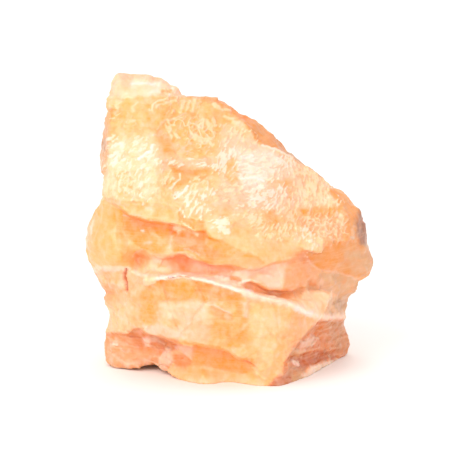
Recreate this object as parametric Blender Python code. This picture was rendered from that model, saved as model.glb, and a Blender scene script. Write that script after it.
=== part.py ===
# Orange calcite: one broken natural chunk, about 100 mm wide, 105 mm high and 75 mm deep.
#
# The stone is laid out like a survey. Its outline and the edges of its beds, ledges and
# hollows are drawn by hand as lines of points, once for the front and once for the back.
# A stiff sheet is stretched over each set of lines, the two sheets are joined along the
# outline, and the closed shape is then roughened, thinned and cut flat underneath.
#
# Stone's frame: X across, Y from front to back, Z up, origin in the middle of the base.
# Survey lengths are in millimetres. The mesh is in metres.

import math

import bmesh
import bpy
import numpy as np
from mathutils import Vector, noise
from mathutils.geometry import delaunay_2d_cdt

# Driving dimensions, in millimetres unless the name says otherwise
SIGHT_TILT_DEG = 12.0  # the front is surveyed along a line of sight that dips by this much
SIGHT_ZERO = 7.1  # sight height of the middle of the base
SHEET_SPACING = 1.7  # distance between the points that fill a sheet
FILL_CLEARANCE = 1.05  # least distance from a filling point to a surveyed one
SAME_POINT = 0.15  # points nearer than this are one point
LEDGE_DROP = 0.6  # sight height from a ledge's lip to the root of its undercut
EDGE_ROUND_IN = 1.3  # how far in from the outline the rounded shoulder begins
EDGE_ROUND_BACK = 4.0  # how far it turns away over that distance
EDGE_ROUND_FROM = 4.0  # height above which the outline has such a shoulder
EDGE_ROUND_CLEARANCE = 2.7  # least distance from the shoulder to a surveyed line
SHEET_TENSION_LENGTH = 5.0  # beyond this distance a sheet runs straight and not stiffly curved
VOXEL = 0.65  # grain of the closed shape before it is thinned
BASE_SPARE = 1.2  # stone below the base plane, cut away at the end
ROUGHNESS = ((13.0, 0.7), (5.5, 0.4), (2.6, 0.2))  # size of the bumps and how far they reach
BED_THICKNESS = 4.2  # thickness of the thin beds that show as steps on broken sides
BED_STEP = 0.4  # how far one bed stands proud of the next on the broken back
FRONT_BED_STEP = 0.2  # and on the front
BED_RAMP = 0.2  # share of a bed's thickness over which it steps to the next
BED_WANDER, BED_WANDER_WIDTH = 1.5, 17.0  # how far the beds stray from flat, over what distance
BROKEN_FROM, BROKEN_ALL = -8.0, 6.0  # depths between which the one passes into the other
BED_DIP = 0.2  # fall of the beds towards +X, as a slope
SHARP_EDGE_DEG = 35  # edges that turn by more than this are shaded sharp
TRIANGLES = 9400
NOISE_SEED = 11
SOLVER_STEPS, SOLVED = 6000, 1e-6  # most steps of the stretching, and the pull at which it rests

# Outline seen from the front, clockwise from the top left: across, sight height, depth
CAP_OUTLINE = (
    (-41.3, 104.3, 0), (-39.6, 108.5, 2), (-38.5, 109.2, 4), (-33.2, 109.0, 7), (-28.7, 108.9, 8),
    (-25.2, 107.8, 8), (-21.7, 105.3, 7), (-20.0, 105.0, 6), (-17.5, 102.9, 6), (-16.1, 101.3, 6),
)
SHOULDER_OUTLINE = (
    (-13.3, 101.1, 6), (-10.5, 100.3, 6), (-4.9, 100.4, 7), (-2.4, 99.4, 7), (0.3, 97.8, 8),
    (2.1, 95.9, 8), (4.6, 94.8, 9), (7.0, 93.1, 10), (9.4, 92.7, 12), (12.6, 89.9, 13),
    (14.7, 89.2, 14), (16.1, 88.2, 14), (17.9, 85.0, 14), (19.6, 82.2, 13), (21.4, 81.2, 13),
    (23.5, 79.3, 12), (25.9, 77.0, 12), (27.6, 76.6, 12), (30.1, 74.9, 12), (32.2, 73.1, 12),
    (34.7, 70.0, 12), (38.9, 67.9, 12), (41.3, 66.1, 12), (43.4, 63.3, 12), (45.5, 61.8, 12),
)
RIGHT_OUTLINE = (
    (46.6, 59.8, 12), (47.6, 56.3, 12), (48.1, 52.1, 12), (49.0, 48.3, 11), (50.4, 43.0, 10),
    (49.7, 40.9, 9), (48.6, 39.2, 8), (47.2, 38.5, 8), (44.8, 37.1, 7), (44.5, 35.0, 7),
    (44.5, 32.9, 7), (42.0, 31.5, 6), (41.6, 30.1, 6), (41.0, 26.9, 7), (40.3, 23.8, 8),
    (39.9, 21.7, 11), (40.3, 17.8, 14), (41.7, 13.6, 17), (42.4, 11.6, 20),
)
LEFT_OUTLINE = (
    (-17.5, 2.8, -23), (-19.3, 3.7, -21), (-20.7, 5.2, -17), (-21.7, 5.9, -15), (-24.5, 6.5, -13),
    (-26.3, 7.2, -11), (-29.8, 7.0, -10), (-35.0, 6.6, -9), (-40.3, 7.3, -5), (-42.7, 8.0, -2),
    (-43.4, 11.2, 3), (-43.6, 16.1, 0), (-43.0, 19.6, -2), (-42.3, 23.1, -3), (-42.0, 26.9, -4),
    (-43.1, 28.7, -4), (-43.8, 31.1, -4), (-43.0, 32.5, -3), (-44.1, 34.3, -3), (-44.5, 35.7, -3),
    (-45.8, 37.8, -3), (-47.6, 40.6, -3), (-49.4, 44.1, -3), (-50.1, 46.9, -3), (-50.4, 50.0, -3),
    (-49.7, 53.9, -2), (-49.0, 57.0, -2), (-47.3, 60.5, -3), (-45.9, 63.0, -5), (-44.5, 66.1, -8),
    (-43.8, 70.0, -9), (-43.4, 73.5, -7), (-44.1, 76.3, 10), (-45.1, 79.1, 15), (-45.5, 82.6, 18),
    (-45.1, 85.7, 18), (-43.8, 88.2, 17), (-43.0, 90.3, 16), (-43.0, 92.7, 14), (-42.3, 95.2, 8),
    (-42.7, 98.0, 2), (-42.3, 100.8, 0),
)

# Front edge of the base on the ground, from right to left: across, depth
BASE_FRONT = (
    (42.0, 17), (38.5, 11.4), (36.0, 2.1), (31.5, -4.6), (30.1, -13.8), (28.0, -18), (24.5, -22),
    (20.3, -29.8), (17.5, -34), (14.7, -32.3), (9.8, -32.3), (3.5, -28.2), (0.7, -25.6),
    (-2.8, -26.3), (-5.2, -29.7), (-10.5, -29.7), (-14.0, -27.3),
)

# Ledges seen from the front: across, sight height, depth, and how far the stone is cut back
# beneath that point
FRONT_LEDGES = {
    "slab lip": (
        (-42.7, 64.7, -13, 1.5), (-40.3, 64.0, -18, 3), (-38.2, 63.0, -21, 4), (-36.8, 61.6, -22, 6),
        (-34.7, 60.0, -23.5, 7), (-30.8, 58.8, -25, 8), (-26.3, 57.8, -26.5, 8),
        (-21.7, 57.2, -27.5, 7.5), (-18.5, 56.7, -28, 7), (-15.4, 55.6, -28.5, 6),
        (-13.3, 54.2, -29, 4.5), (-11.0, 54.4, -29, 3.5), (-8.2, 54.6, -28.5, 2.5),
        (-7.4, 52.2, -29, 2), (-3.5, 51.2, -29.5, 1),
    ),
    "torn tongue": (
        (25.2, 48.3, -19.5, 1), (28.0, 48.2, -18.5, 3), (31.9, 47.7, -16, 4), (32.8, 51.0, -13, 1.5),
    ),
    "crest": (
        (-28.0, 45.7, -20, 0.5), (-24.5, 45.7, -23, 3), (-21.0, 45.7, -25, 5), (-17.5, 46.4, -27, 7),
        (-14.7, 45.8, -28, 7.5), (-11.5, 44.3, -28.5, 7), (-8.0, 43.6, -29, 6), (-4.9, 42.9, -29.5, 5),
        (-1.4, 42.7, -30, 4.5), (3.5, 41.7, -30.5, 4), (7.0, 41.3, -30, 3.5), (9.8, 41.7, -29, 3),
        (13.3, 42.7, -27.5, 2.5), (16.5, 43.6, -25.5, 2), (20.6, 44.3, -23, 2), (23.5, 45.5, -21, 1.5),
    ),
    "pink face": (
        (4.6, 36.9, -29.5, 0.5), (7.7, 36.6, -30, 3), (10.2, 35.2, -29.5, 4), (13.3, 34.2, -28.5, 4.5),
        (17.5, 33.6, -27, 4.5), (21.0, 34.2, -24.5, 4), (24.0, 35.2, -21.5, 3), (26.3, 34.6, -19.5, 1.5),
    ),
    "vein": (
        (-33.6, 39.5, -19, 0.4), (-31.2, 37.8, -22, 1), (-28.0, 37.1, -26, 1.6), (-22.8, 37.8, -29, 2),
        (-19.3, 38.3, -30.5, 2.2), (-16.1, 38.6, -31.5, 2.3), (-12.3, 37.5, -32.5, 2.2),
        (-8.8, 36.8, -33.5, 2), (-3.5, 35.7, -34.5, 1.6), (0.0, 34.3, -34.5, 1.4), (3.5, 33.3, -34.5, 1.4),
        (8.8, 32.2, -34.5, 1.4), (14.0, 30.8, -33.5, 1.4), (18.2, 29.6, -32.5, 1.4),
        (21.7, 28.4, -30.5, 1.4), (24.5, 27.3, -28, 1.4), (28.0, 25.2, -24.5, 1.2), (31.0, 23.9, -20.5, 0.8),
    ),
    "lower lip": (
        (-41.8, 18.6, -7, 2), (-38.5, 19.1, -13, 5), (-36.0, 18.2, -16, 6.5), (-34.3, 20.1, -18, 7),
        (-31.2, 21.0, -21.5, 9), (-29.4, 18.6, -24, 10.5), (-26.3, 18.2, -26.5, 11.5),
        (-23.5, 17.3, -28.5, 11.5), (-20.3, 16.5, -31, 11), (-17.5, 15.8, -32.5, 9.5),
        (-14.0, 15.4, -34, 8.5), (-10.5, 15.1, -34.5, 7.5), (-7.0, 14.4, -35, 7),
        (-3.2, 13.7, -35.5, 7), (0.0, 12.3, -35.5, 7), (2.5, 10.5, -35, 5.5), (6.0, 10.2, -34.5, 4),
        (8.0, 8.4, -34, 2),
    ),
    "vein's right end": ((31.9, 22.6, -19, 5), (36.0, 23.0, -10, 8), (39.2, 22.9, 1, 6)),
    "scoop edge": ((-24.5, 29.0, -27, 0), (-17.5, 29.0, -30.5, 0), (-12.3, 28.7, -32.5, 0)),
}

# Other edges seen from the front: across, sight height, depth
FRONT_EDGES = {
    "foot of the cap": (
        (-40.9, 100.8, -2), (-35.7, 100.6, -5), (-30.8, 101.1, -5.5), (-27.3, 101.8, -4.5),
        (-23.8, 101.8, -2.5), (-20.3, 102.3, 0.5),
    ),
    "slab's left edge": (
        (-41.8, 94.0, -4), (-41.2, 89.6, -6), (-41.4, 84.4, -9), (-41.6, 79.8, -11), (-42.0, 75.6, -12.5),
        (-42.2, 70.5, -14),
    ),
    "back shoulder": (
        (1.8, 94.0, 4), (4.6, 92.0, 2.5), (7.0, 89.4, 1), (9.0, 85.5, 0), (11.8, 83.3, 0.5),
        (16.8, 82.1, 4), (20.3, 80.3, 7.5),
    ),
    "slab's right edge": (
        (35.0, 68.4, 6), (39.2, 64.0, 3), (41.0, 58.8, -1), (42.0, 52.8, -3), (40.3, 50.5, -5),
    ),
    "bulb's right edge": (
        (-38.8, 59.6, -16), (-37.8, 56.0, -16), (-36.0, 51.8, -17), (-33.9, 50.0, -18),
        (-31.2, 48.3, -19), (-28.8, 46.9, -19.5),
    ),
    "fold in the slab": ((-26.8, 88, -11), (-25.8, 80, -15), (-25.2, 72, -19.5), (-27.0, 65, -23)),
    "lobe's right edge": ((-21.4, 55.3, -20), (-20.5, 52.5, -21.5), (-21.0, 48.7, -24)),
    "seam under the bulb": ((-46.0, 41.0, -8), (-43.8, 40.9, -13), (-39.6, 40.9, -16), (-35.7, 41.2, -17.5)),
    "back of the ledge": (
        (-27.3, 41.3, -18.5), (-24.5, 40.6, -20), (-20.3, 39.9, -21.5), (-17.5, 39.9, -22),
        (-14.0, 40.3, -22.5), (-10.5, 40.1, -23), (-6.3, 39.9, -24), (-2.8, 39.9, -24.5),
        (0.7, 39.9, -25.2), (5.2, 39.5, -26), (9.8, 40.0, -26), (14.0, 41.0, -25),
    ),
    "hollow behind the vein": (
        (6.0, 34.0, -29), (9.8, 33.3, -27.5), (14.0, 31.9, -26), (18.6, 30.8, -25), (22.4, 30.1, -23),
    ),
    "plate": (
        (24.2, 31.3, -21), (25.4, 32.5, -19), (27.3, 33.3, -16.5), (31.5, 33.0, -14), (35.2, 32.4, -11.5),
        (35.2, 29.4, -13), (33.6, 26.4, -15.5), (33.8, 24.6, -16.5),
    ),
    "back of the plate": ((28.0, 34.2, -13), (32.0, 33.9, -10), (36.0, 33.3, -6), (36.3, 29.8, -5), (35.2, 26.6, -8)),
    "salmon edge": ((20.0, 43.0, -22), (19.6, 38.9, -24.5), (19.0, 35.4, -26.5)),
    "right face's foot": (
        (28.7, 42.0, -13), (32.2, 39.5, -10.5), (38.5, 38.8, -2), (43.4, 37.7, 3),
    ),
    "strip's foot": ((30.8, 35.2, -13), (35.0, 34.4, -8), (40.3, 33.5, -1), (43.0, 33.3, 3)),
    "block's right edge": (
        (29.0, 21.3, -22.5), (26.6, 18.9, -25.5), (24.5, 16.5, -28), (22.4, 14.0, -30), (20.6, 10.9, -31.5),
        (18.7, 7.6, -32.5), (16.5, 4.6, -33),
    ),
    "back of the block's right edge": (
        (29.8, 20.4, -13), (27.5, 17.9, -16), (25.3, 15.7, -19), (23.2, 13.3, -21), (21.5, 10.5, -23),
    ),
    "foot": (
        (20.4, 6.6, -29), (22.3, 8.2, -24.5), (24.5, 7.3, -20), (28.0, 6.7, -15), (30.8, 7.9, -8),
        (34.7, 9.3, 0), (38.0, 10.3, 8),
    ),
    "back of the foot": ((23.8, 9.4, -17), (28.0, 8.6, -11.5), (31.2, 9.6, -4), (35.0, 11.0, 3)),
    "bulge's top": (
        (-17.3, 6.8, -20), (-14.0, 6.8, -24), (-10.5, 6.8, -26.5), (-6.3, 6.5, -27), (-1.8, 5.8, -26.5),
        (3.5, 4.8, -28.5), (7.0, 5.0, -31),
    ),
}

# Places that a sheet passes through smoothly: across, sight height, depth
FRONT_FORM = (
    (-34, 105.5, 0.5), (-27, 105.5, 2.5),  # cap
    (-35, 93, -8), (-28, 95, -8.5), (-23, 90, -7.5), (-12, 95, -1), (-3, 94, 2.5),  # upper slab
    (-37, 84, -11), (-33, 76, -15.5), (-19, 81, -12), (-14, 84, -8.5), (-4, 84, -6.5), (6, 80, -4.5),
    (-38, 70, -18), (-30, 67, -20.5), (-20, 68, -20), (-10, 70, -18), (0, 70, -14.5), (10, 70, -9.5),
    (18, 72, -3.5), (26, 70, 2.5), (-20, 61, -25.5), (-6, 61, -25.5), (4, 62, -22), (14, 62, -15),
    (24, 57, -9.5), (34, 58, -3),
    (4, 54, -26.5), (12, 53, -23.5), (20, 51, -20), (8, 48, -28.5), (-2, 48, -29.5),  # smooth lens
    (-45.5, 56.5, -11), (-42, 51.5, -17.5), (-41.3, 46, -18.5), (-46.5, 47.5, -11), (-38, 46, -20),
    (-41, 60, -14),  # bulb
    (-31.5, 53, -18), (-27.3, 51.8, -21), (-23.6, 51, -22.5), (-25, 47.6, -23),  # lobe
    (-16, 50.5, -24.5), (-11, 49, -26), (-16, 42.5, -20.5), (-8, 42, -23),  # under the lip
    (-32, 45.5, -14), (-31.5, 43.3, -13.5),  # little hole
    (35, 49.3, -11), (40, 47.5, -4.5), (45.5, 46, 3), (36, 43, -8.5), (43, 41.5, 0),  # right face
    (24.5, 40.5, -19), (28, 37.5, -16.5), (36.8, 36, -7),  # salmon facet and strip
    (14, 37.5, -27), (38.5, 28, -1), (38, 31, 0),
    (-40.5, 35.5, -13.5), (-34, 34, -19), (-38.5, 27, -14.5), (-32, 25, -21), (-40, 22, -10),  # lumps
    (-28, 33.5, -22.5), (-21, 32, -26.5), (-15.5, 33, -29), (-28, 27, -24), (-22, 22.5, -29),  # scoop
    (0, 27, -36), (4, 20, -37), (-8, 21, -35.5), (12, 22, -36), (14, 12, -35), (20, 21, -32.5),  # block
    (10, 6, -34),
    (-38, 14, -7), (-31, 14, -11), (-25.5, 12.5, -14), (-22.6, 9.6, -17), (-20, 12, -19),  # left hollow
    (-14, 10.5, -25), (-5, 9.5, -27.5), (2, 7.5, -28.5), (-9, 3.4, -29.6),  # middle hollow, base bulge
    (31.5, 18, -5.5), (36.8, 17.5, 3), (33.3, 13, -3), (28.5, 12.5, -11.5), (38.5, 13.5, 9),  # right hollow
)

# Edges round the back, in the stone's own frame: across, depth, height
BACK_EDGES = {
    "left arris": (
        (-31, 15, 96), (-25, 22, 84), (-19, 29, 73), (-15, 34, 62), (-12, 36, 48), (-16, 35, 33),
    ),
    "right arris": ((15, 36.5, 56), (18, 36.5, 50), (20, 37.5, 37), (16, 37, 18)),
    "upper ledge": ((-1, 26, 75), (10, 31, 67), (22, 31, 61), (32, 26, 54), (40, 21, 50)),
    "upper ledge's root": ((0, 30, 71), (10, 35, 63), (22, 34.5, 57), (32, 30, 50)),
    "left ledge": ((-42, 22, 68), (-34, 29, 70), (-26, 31, 71)),
    "left ledge's root": ((-42, 17, 62.5), (-34, 24, 65), (-26, 28, 67)),
    "middle ledge": ((-7, 38, 46), (3, 39.5, 43), (13, 38.5, 43)),
    "middle ledge's root": ((-6, 35, 42), (4, 36, 39), (13, 36, 40)),
    "corner": ((-38, 25, 52), (-33, 30, 44), (-35, 28, 30), (-31, 31, 18)),
    "lower left ledge": ((-30, 33, 31), (-21, 36, 28), (-11, 37, 29)),
    "lower left ledge's root": ((-29, 30, 27), (-21, 33, 24), (-11, 34.5, 25.5)),
    "right ledge": ((24, 36, 30), (32, 32, 27), (39, 25, 28)),
    "right ledge's root": ((24, 33, 26), (31, 29, 23), (37.5, 22.5, 24)),
}
BASE_BACK = (
    (-39.5, 17), (-37, 25), (-28, 30), (-17, 34), (-4, 34), (8, 36), (20, 33), (31, 29), (38, 22.5),
)
BACK_FORM = (
    (-20, 17, 92), (-8, 18, 87), (4, 19, 82), (20, 22, 72), (32, 19, 62),
    (-40, 22, 78), (-33, 25, 80), (-8, 31, 69), (-3, 34, 58), (8, 37, 54), (27, 33, 46), (42, 19, 44),
    (-46, 8, 50), (-42, 19, 48), (-25, 32, 52), (-24, 34, 40), (44, 17, 36), (30, 33, 38),
    (-42, 13, 28), (-41, 18, 14), (-20, 34, 16), (-4, 36, 22), (28, 32, 14), (39, 19, 13),
    (-34, 26, 8), (-12, 34, 8), (10, 36.5, 8), (3, 37, 32),
    (0, 4, -BASE_SPARE), (-20, 14, -BASE_SPARE), (20, 8, -BASE_SPARE),
)

# Faces left where flakes broke off the back and the sides: outward direction, flake's thickness
BROKEN_FACES = (
    ((-0.15, 0.80, 0.58), 4.5),
    ((0.35, 0.72, 0.60), 5.0),
    ((0.62, 0.78, 0.05), 5.5),
    ((0.10, 0.99, -0.10), 3.5),
    ((-0.60, 0.80, 0.05), 5.5),
    ((-0.30, 0.93, -0.20), 3.5),
    ((0.72, 0.55, -0.42), 3.0),
    ((-0.75, 0.50, -0.43), 3.0),
)
FACE_BULGE = 0.15  # share of a flake's thickness that its face keeps, so that no face is quite flat

SIGHT_SIN = math.sin(math.radians(SIGHT_TILT_DEG))
SIGHT_COS = math.cos(math.radians(SIGHT_TILT_DEG))


def sight_height(depth, height):
    """How high a point of the stone looks from the front."""
    return height * SIGHT_COS + depth * SIGHT_SIN + SIGHT_ZERO


def true_height(depth, sighted):
    return (sighted - SIGHT_ZERO - depth * SIGHT_SIN) / SIGHT_COS


def on_base(outline):
    """Points of the base, a little below its plane, as across, sight height and depth."""
    return [(x, sight_height(y, -BASE_SPARE), y) for x, y in outline]


def resampled(line, spacing):
    """The line's own points, with more between them so that none are far apart."""
    points = [np.array(line[0], float)]
    for start, end in zip(line[:-1], line[1:]):
        start, end = np.array(start, float), np.array(end, float)
        pieces = max(1, round(math.dist(start[:2], end[:2]) / spacing))
        points += [start + (end - start) * i / pieces for i in range(1, pieces + 1)]
    return points


def inside(points, loop):
    """For each point, whether it lies inside the closed loop."""
    result = np.zeros(len(points), bool)
    for (ax, ay), (bx, by) in zip(loop, np.roll(loop, -1, axis=0)):
        crosses = (ay > points[:, 1]) != (by > points[:, 1])
        with np.errstate(divide="ignore", invalid="ignore"):
            at = ax + (points[:, 1] - ay) * (bx - ax) / (by - ay)
        result ^= crosses & (points[:, 0] < at)
    return result


def far_from(points, others, distance):
    """For each point, whether no other point is nearer than the distance."""
    gaps = np.linalg.norm(points[:, None, :] - np.asarray(others)[None, :, :], axis=2)
    return gaps.min(axis=1) > distance


class Sheet:
    """One side of the stone: flat points across and up, each with a depth, and triangles."""

    def __init__(self, outline):
        self.flat = [tuple(p[:2]) for p in outline]
        self.depth = [float(p[2]) for p in outline]
        self.creased = [True] * len(outline)
        self.edges = [(i, (i + 1) % len(outline)) for i in range(len(outline))]
        self.outline = np.array(self.flat)

    def add_point(self, point, creased):
        gaps = np.linalg.norm(np.array(self.flat) - np.array(point[:2]), axis=1)
        if gaps.min() < SAME_POINT:
            return int(gaps.argmin())
        self.flat.append((float(point[0]), float(point[1])))
        self.depth.append(float(point[2]))
        self.creased.append(creased)
        return len(self.flat) - 1

    def add_line(self, line):
        indices = [self.add_point(p, True) for p in resampled(line, SHEET_SPACING)]
        self.edges += [pair for pair in zip(indices[:-1], indices[1:]) if pair[0] != pair[1]]

    def add_shoulder(self, turn):
        """Points just inside the outline, turned away from it, so that the edge is round."""
        loop = self.outline
        along = np.roll(loop, -1, axis=0) - np.roll(loop, 1, axis=0)
        inward = np.column_stack([along[:, 1], -along[:, 0]])
        inward /= np.linalg.norm(inward, axis=1)[:, None]
        shoulder = loop + inward * EDGE_ROUND_IN
        depth = np.array(self.depth[: len(loop)]) + turn * EDGE_ROUND_BACK
        lines = np.array(self.flat[len(loop):])
        heights = np.array([true_height(y, up) for (_, up), y in zip(loop, self.depth)])
        keep = inside(shoulder, loop) & far_from(shoulder, loop, 0.8 * EDGE_ROUND_IN)
        keep &= heights > EDGE_ROUND_FROM
        keep &= far_from(shoulder, lines, EDGE_ROUND_CLEARANCE)
        for point, y in zip(shoulder[keep], depth[keep]):
            self.add_point((*point, y), False)

    def fill(self):
        """A loose grid of points in the open stretches, with their depths still unknown."""
        low, high = self.outline.min(axis=0), self.outline.max(axis=0)
        rows = np.arange(low[1], high[1], SHEET_SPACING * math.sin(math.radians(60)))
        grid = []
        for i, up in enumerate(rows):
            across = np.arange(low[0] + (i % 2) * SHEET_SPACING / 2, high[0], SHEET_SPACING)
            grid.append(np.column_stack([across, np.full(len(across), up)]))
        grid = np.concatenate(grid)
        grid = grid[inside(grid, self.outline)]
        grid = grid[far_from(grid, self.flat, FILL_CLEARANCE)]
        self.known = len(self.flat)
        self.flat += [tuple(p) for p in grid]
        self.creased += [False] * len(grid)

    def triangulate(self):
        corners = [Vector(p) for p in self.flat]
        found = delaunay_2d_cdt(corners, self.edges, [], 1, 1e-5)
        places, triangles, sources = found[0], found[2], found[3]
        if len(places) != len(corners):
            raise ValueError(f"{len(places) - len(corners)} points where survey lines cross")
        original = [source[0] for source in sources]
        self.triangles = np.array([[original[i] for i in face] for face in triangles])

    def stretch(self):
        """Depths of the filling points: a sheet that is stiff, except where it is creased."""
        flat = np.array(self.flat)
        count, free = len(flat), np.arange(len(flat)) >= self.known
        ends, weights = cotangent_edges(flat, self.triangles)
        start, end = ends.T
        spread = np.bincount(start, weights, count) + np.bincount(end, weights, count)
        area = SHEET_SPACING**2
        stiff = np.where(self.creased, 0.0, 1.0 / area)
        tension = 1.0 / SHEET_TENSION_LENGTH**2

        def bend(y):
            return (
                spread * y
                - np.bincount(start, weights * y[end], count)
                - np.bincount(end, weights * y[start], count)
            )

        def pull(y):
            return bend(stiff * bend(y)) + tension * bend(y)

        known = np.zeros(count)
        known[: self.known] = self.depth
        known[free] = np.mean(self.depth)
        scale = np.where(free, 1.0 / (stiff * spread**2 + tension * spread + 1e-9), 0.0)
        y = known.copy()
        rest = np.where(free, -pull(y), 0.0)
        step = scale * rest
        along = step.copy()
        energy = rest @ step
        for _ in range(SOLVER_STEPS):
            pulled = np.where(free, pull(along), 0.0)
            size = energy / (along @ pulled)
            y += size * along
            rest -= size * pulled
            if np.abs(rest).max() < SOLVED:
                break
            step = scale * rest
            new_energy = rest @ step
            along = step + along * new_energy / energy
            energy = new_energy
        self.depth = list(y)


def cotangent_edges(flat, triangles):
    """Each triangle's edges with the weight that keeps a flat sheet flat."""
    ends, weights = [], []
    for corner in range(3):
        apex, a, b = (triangles[:, (corner + i) % 3] for i in range(3))
        to_a, to_b = flat[a] - flat[apex], flat[b] - flat[apex]
        cross = np.abs(to_a[:, 0] * to_b[:, 1] - to_a[:, 1] * to_b[:, 0])
        cotangent = (to_a * to_b).sum(axis=1) / np.maximum(cross, 1e-9)
        ends.append(np.column_stack([a, b]))
        weights.append(0.5 * np.clip(cotangent, -2.0, 6.0))
    return np.concatenate(ends), np.concatenate(weights)


def ledge_lines(ledge):
    """A ledge's lip, and the root of its undercut just below where it can be seen."""
    lip = [point[:3] for point in ledge]
    root = [(x, up - LEDGE_DROP, y + cut) for x, up, y, cut in ledge if cut > 0]
    return [lip, root] if root else [lip]


def make_outline():
    seen = CAP_OUTLINE + SHOULDER_OUTLINE + RIGHT_OUTLINE
    loop = list(seen) + on_base(BASE_FRONT) + list(LEFT_OUTLINE)
    return resampled(loop + loop[:1], SHEET_SPACING)[:-1]


def front_sheet(outline):
    sheet = Sheet(outline)
    for ledge in FRONT_LEDGES.values():
        for line in ledge_lines(ledge):
            sheet.add_line(line)
    for line in FRONT_EDGES.values():
        sheet.add_line(line)
    for point in FRONT_FORM:
        sheet.add_point(point, False)
    sheet.add_shoulder(-1)
    sheet.fill()
    sheet.triangulate()
    sheet.stretch()
    return sheet


def back_sheet(outline):
    sheet = Sheet(outline)
    for line in BACK_EDGES.values():
        sheet.add_line([(x, sight_height(y, z), y) for x, y, z in line])
    sheet.add_line(on_base(BASE_BACK))
    for x, y, z in BACK_FORM:
        sheet.add_point((x, sight_height(y, z), y), False)
    sheet.add_shoulder(1)
    sheet.fill()
    sheet.triangulate()
    sheet.stretch()
    return sheet


def closed_mesh(front, back, rim):
    """The two sheets as one mesh, which share the points of the outline."""
    shape = bmesh.new()

    def add_vertices(sheet, start):
        return [
            shape.verts.new((x, y, true_height(y, up)))
            for (x, up), y in zip(sheet.flat[start:], sheet.depth[start:])
        ]

    rim_vertices = add_vertices(front, 0)[:rim]
    front_vertices = list(shape.verts)
    back_vertices = rim_vertices + add_vertices(back, rim)
    for sheet, vertices in ((front, front_vertices), (back, back_vertices)):
        for triangle in sheet.triangles:
            shape.faces.new([vertices[i] for i in triangle])
    bmesh.ops.recalc_face_normals(shape, faces=shape.faces)
    mesh = bpy.data.meshes.new("survey")
    shape.to_mesh(mesh)
    shape.free()
    return mesh


def evaluated_copy(mesh, name, add_modifiers):
    """A new mesh: the old one after the modifiers that the function adds."""
    helper = bpy.data.objects.new(name, mesh)
    bpy.context.scene.collection.objects.link(helper)
    add_modifiers(helper)
    graph = bpy.context.evaluated_depsgraph_get()
    result = bpy.data.meshes.new_from_object(helper.evaluated_get(graph))
    bpy.data.objects.remove(helper)
    return result


def add_remesh(helper):
    remesh = helper.modifiers.new("even skin", "REMESH")
    remesh.mode = "VOXEL"
    remesh.voxel_size = VOXEL
    smooth = helper.modifiers.new("soften", "SMOOTH")
    smooth.factor = 0.5
    smooth.iterations = 1


def add_decimate(helper):
    thin = helper.modifiers.new("thin", "DECIMATE")
    thin.ratio = TRIANGLES / (2 * len(helper.data.vertices))


def break_faces(mesh):
    """Takes a flake off the shape in each of the broken faces' directions."""
    places = np.empty(len(mesh.vertices) * 3)
    mesh.vertices.foreach_get("co", places)
    places = places.reshape(-1, 3)
    for direction, thickness in BROKEN_FACES:
        outward = np.array(direction) / np.linalg.norm(direction)
        reach = places @ outward
        beyond = np.maximum(reach - (reach.max() - thickness), 0.0)
        places -= np.outer(beyond * (1.0 - FACE_BULGE), outward)
    mesh.vertices.foreach_set("co", places.ravel())
    mesh.update()


def bed_step(point):
    """How far the thin bed at this point stands proud: flat steps with short ramps."""
    broken = min(1.0, max(0.0, (point.y - BROKEN_FROM) / (BROKEN_ALL - BROKEN_FROM)))
    step = FRONT_BED_STEP + (BED_STEP - FRONT_BED_STEP) * broken
    wander = BED_WANDER * noise.noise(point / BED_WANDER_WIDTH)
    level = (point.z + BED_DIP * point.x + wander) / BED_THICKNESS
    fraction = level - math.floor(level)
    proud = noise.cell(Vector((math.floor(level), 0.5, 0.5)))
    following = noise.cell(Vector((math.floor(level) + 1, 0.5, 0.5)))
    ramp = max(0.0, (fraction - 1.0 + BED_RAMP) / BED_RAMP)
    return step * (proud + (following - proud) * ramp - 0.5)


def roughen(mesh):
    """Bumps of a few sizes and thin proud beds, along each point's own normal."""
    noise.seed_set(NOISE_SEED)
    moved = []
    for vertex in mesh.vertices:
        point, normal = vertex.co, vertex.normal
        reach = sum(
            size * noise.noise(point / width + Vector((width, 0, 0))) for width, size in ROUGHNESS
        )
        steepness = 1.0 - abs(normal.z)
        above = min(1.0, max(0.0, point.z / BASE_SPARE))
        moved.append(point + normal * above * (reach + bed_step(point) * steepness))
    for vertex, place in zip(mesh.vertices, moved):
        vertex.co = place
    mesh.update()


def drop_crumbs(shape):
    """Leaves only the largest connected piece of the shape."""
    left, pieces = set(shape.verts), []
    while left:
        piece, front = set(), [left.pop()]
        while front:
            vertex = front.pop()
            piece.add(vertex)
            near = {edge.other_vert(vertex) for edge in vertex.link_edges} & left
            left -= near
            front += near
        pieces.append(piece)
    pieces.sort(key=len)
    crumbs = [vertex for piece in pieces[:-1] for vertex in piece]
    bmesh.ops.delete(shape, geom=crumbs, context="VERTS")


def cut_base(mesh):
    """The stone above the ground plane, closed with one flat face."""
    shape = bmesh.new()
    shape.from_mesh(mesh)
    drop_crumbs(shape)
    everything = shape.verts[:] + shape.edges[:] + shape.faces[:]
    cut = bmesh.ops.bisect_plane(
        shape, geom=everything, dist=1e-3, plane_co=(0, 0, 0), plane_no=(0, 0, 1), clear_inner=True
    )
    rim = [item for item in cut["geom_cut"] if isinstance(item, bmesh.types.BMEdge)]
    bmesh.ops.holes_fill(shape, edges=rim, sides=0)
    bmesh.ops.triangulate(shape, faces=[face for face in shape.faces if len(face.verts) > 3])
    shape.to_mesh(mesh)
    shape.free()


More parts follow.
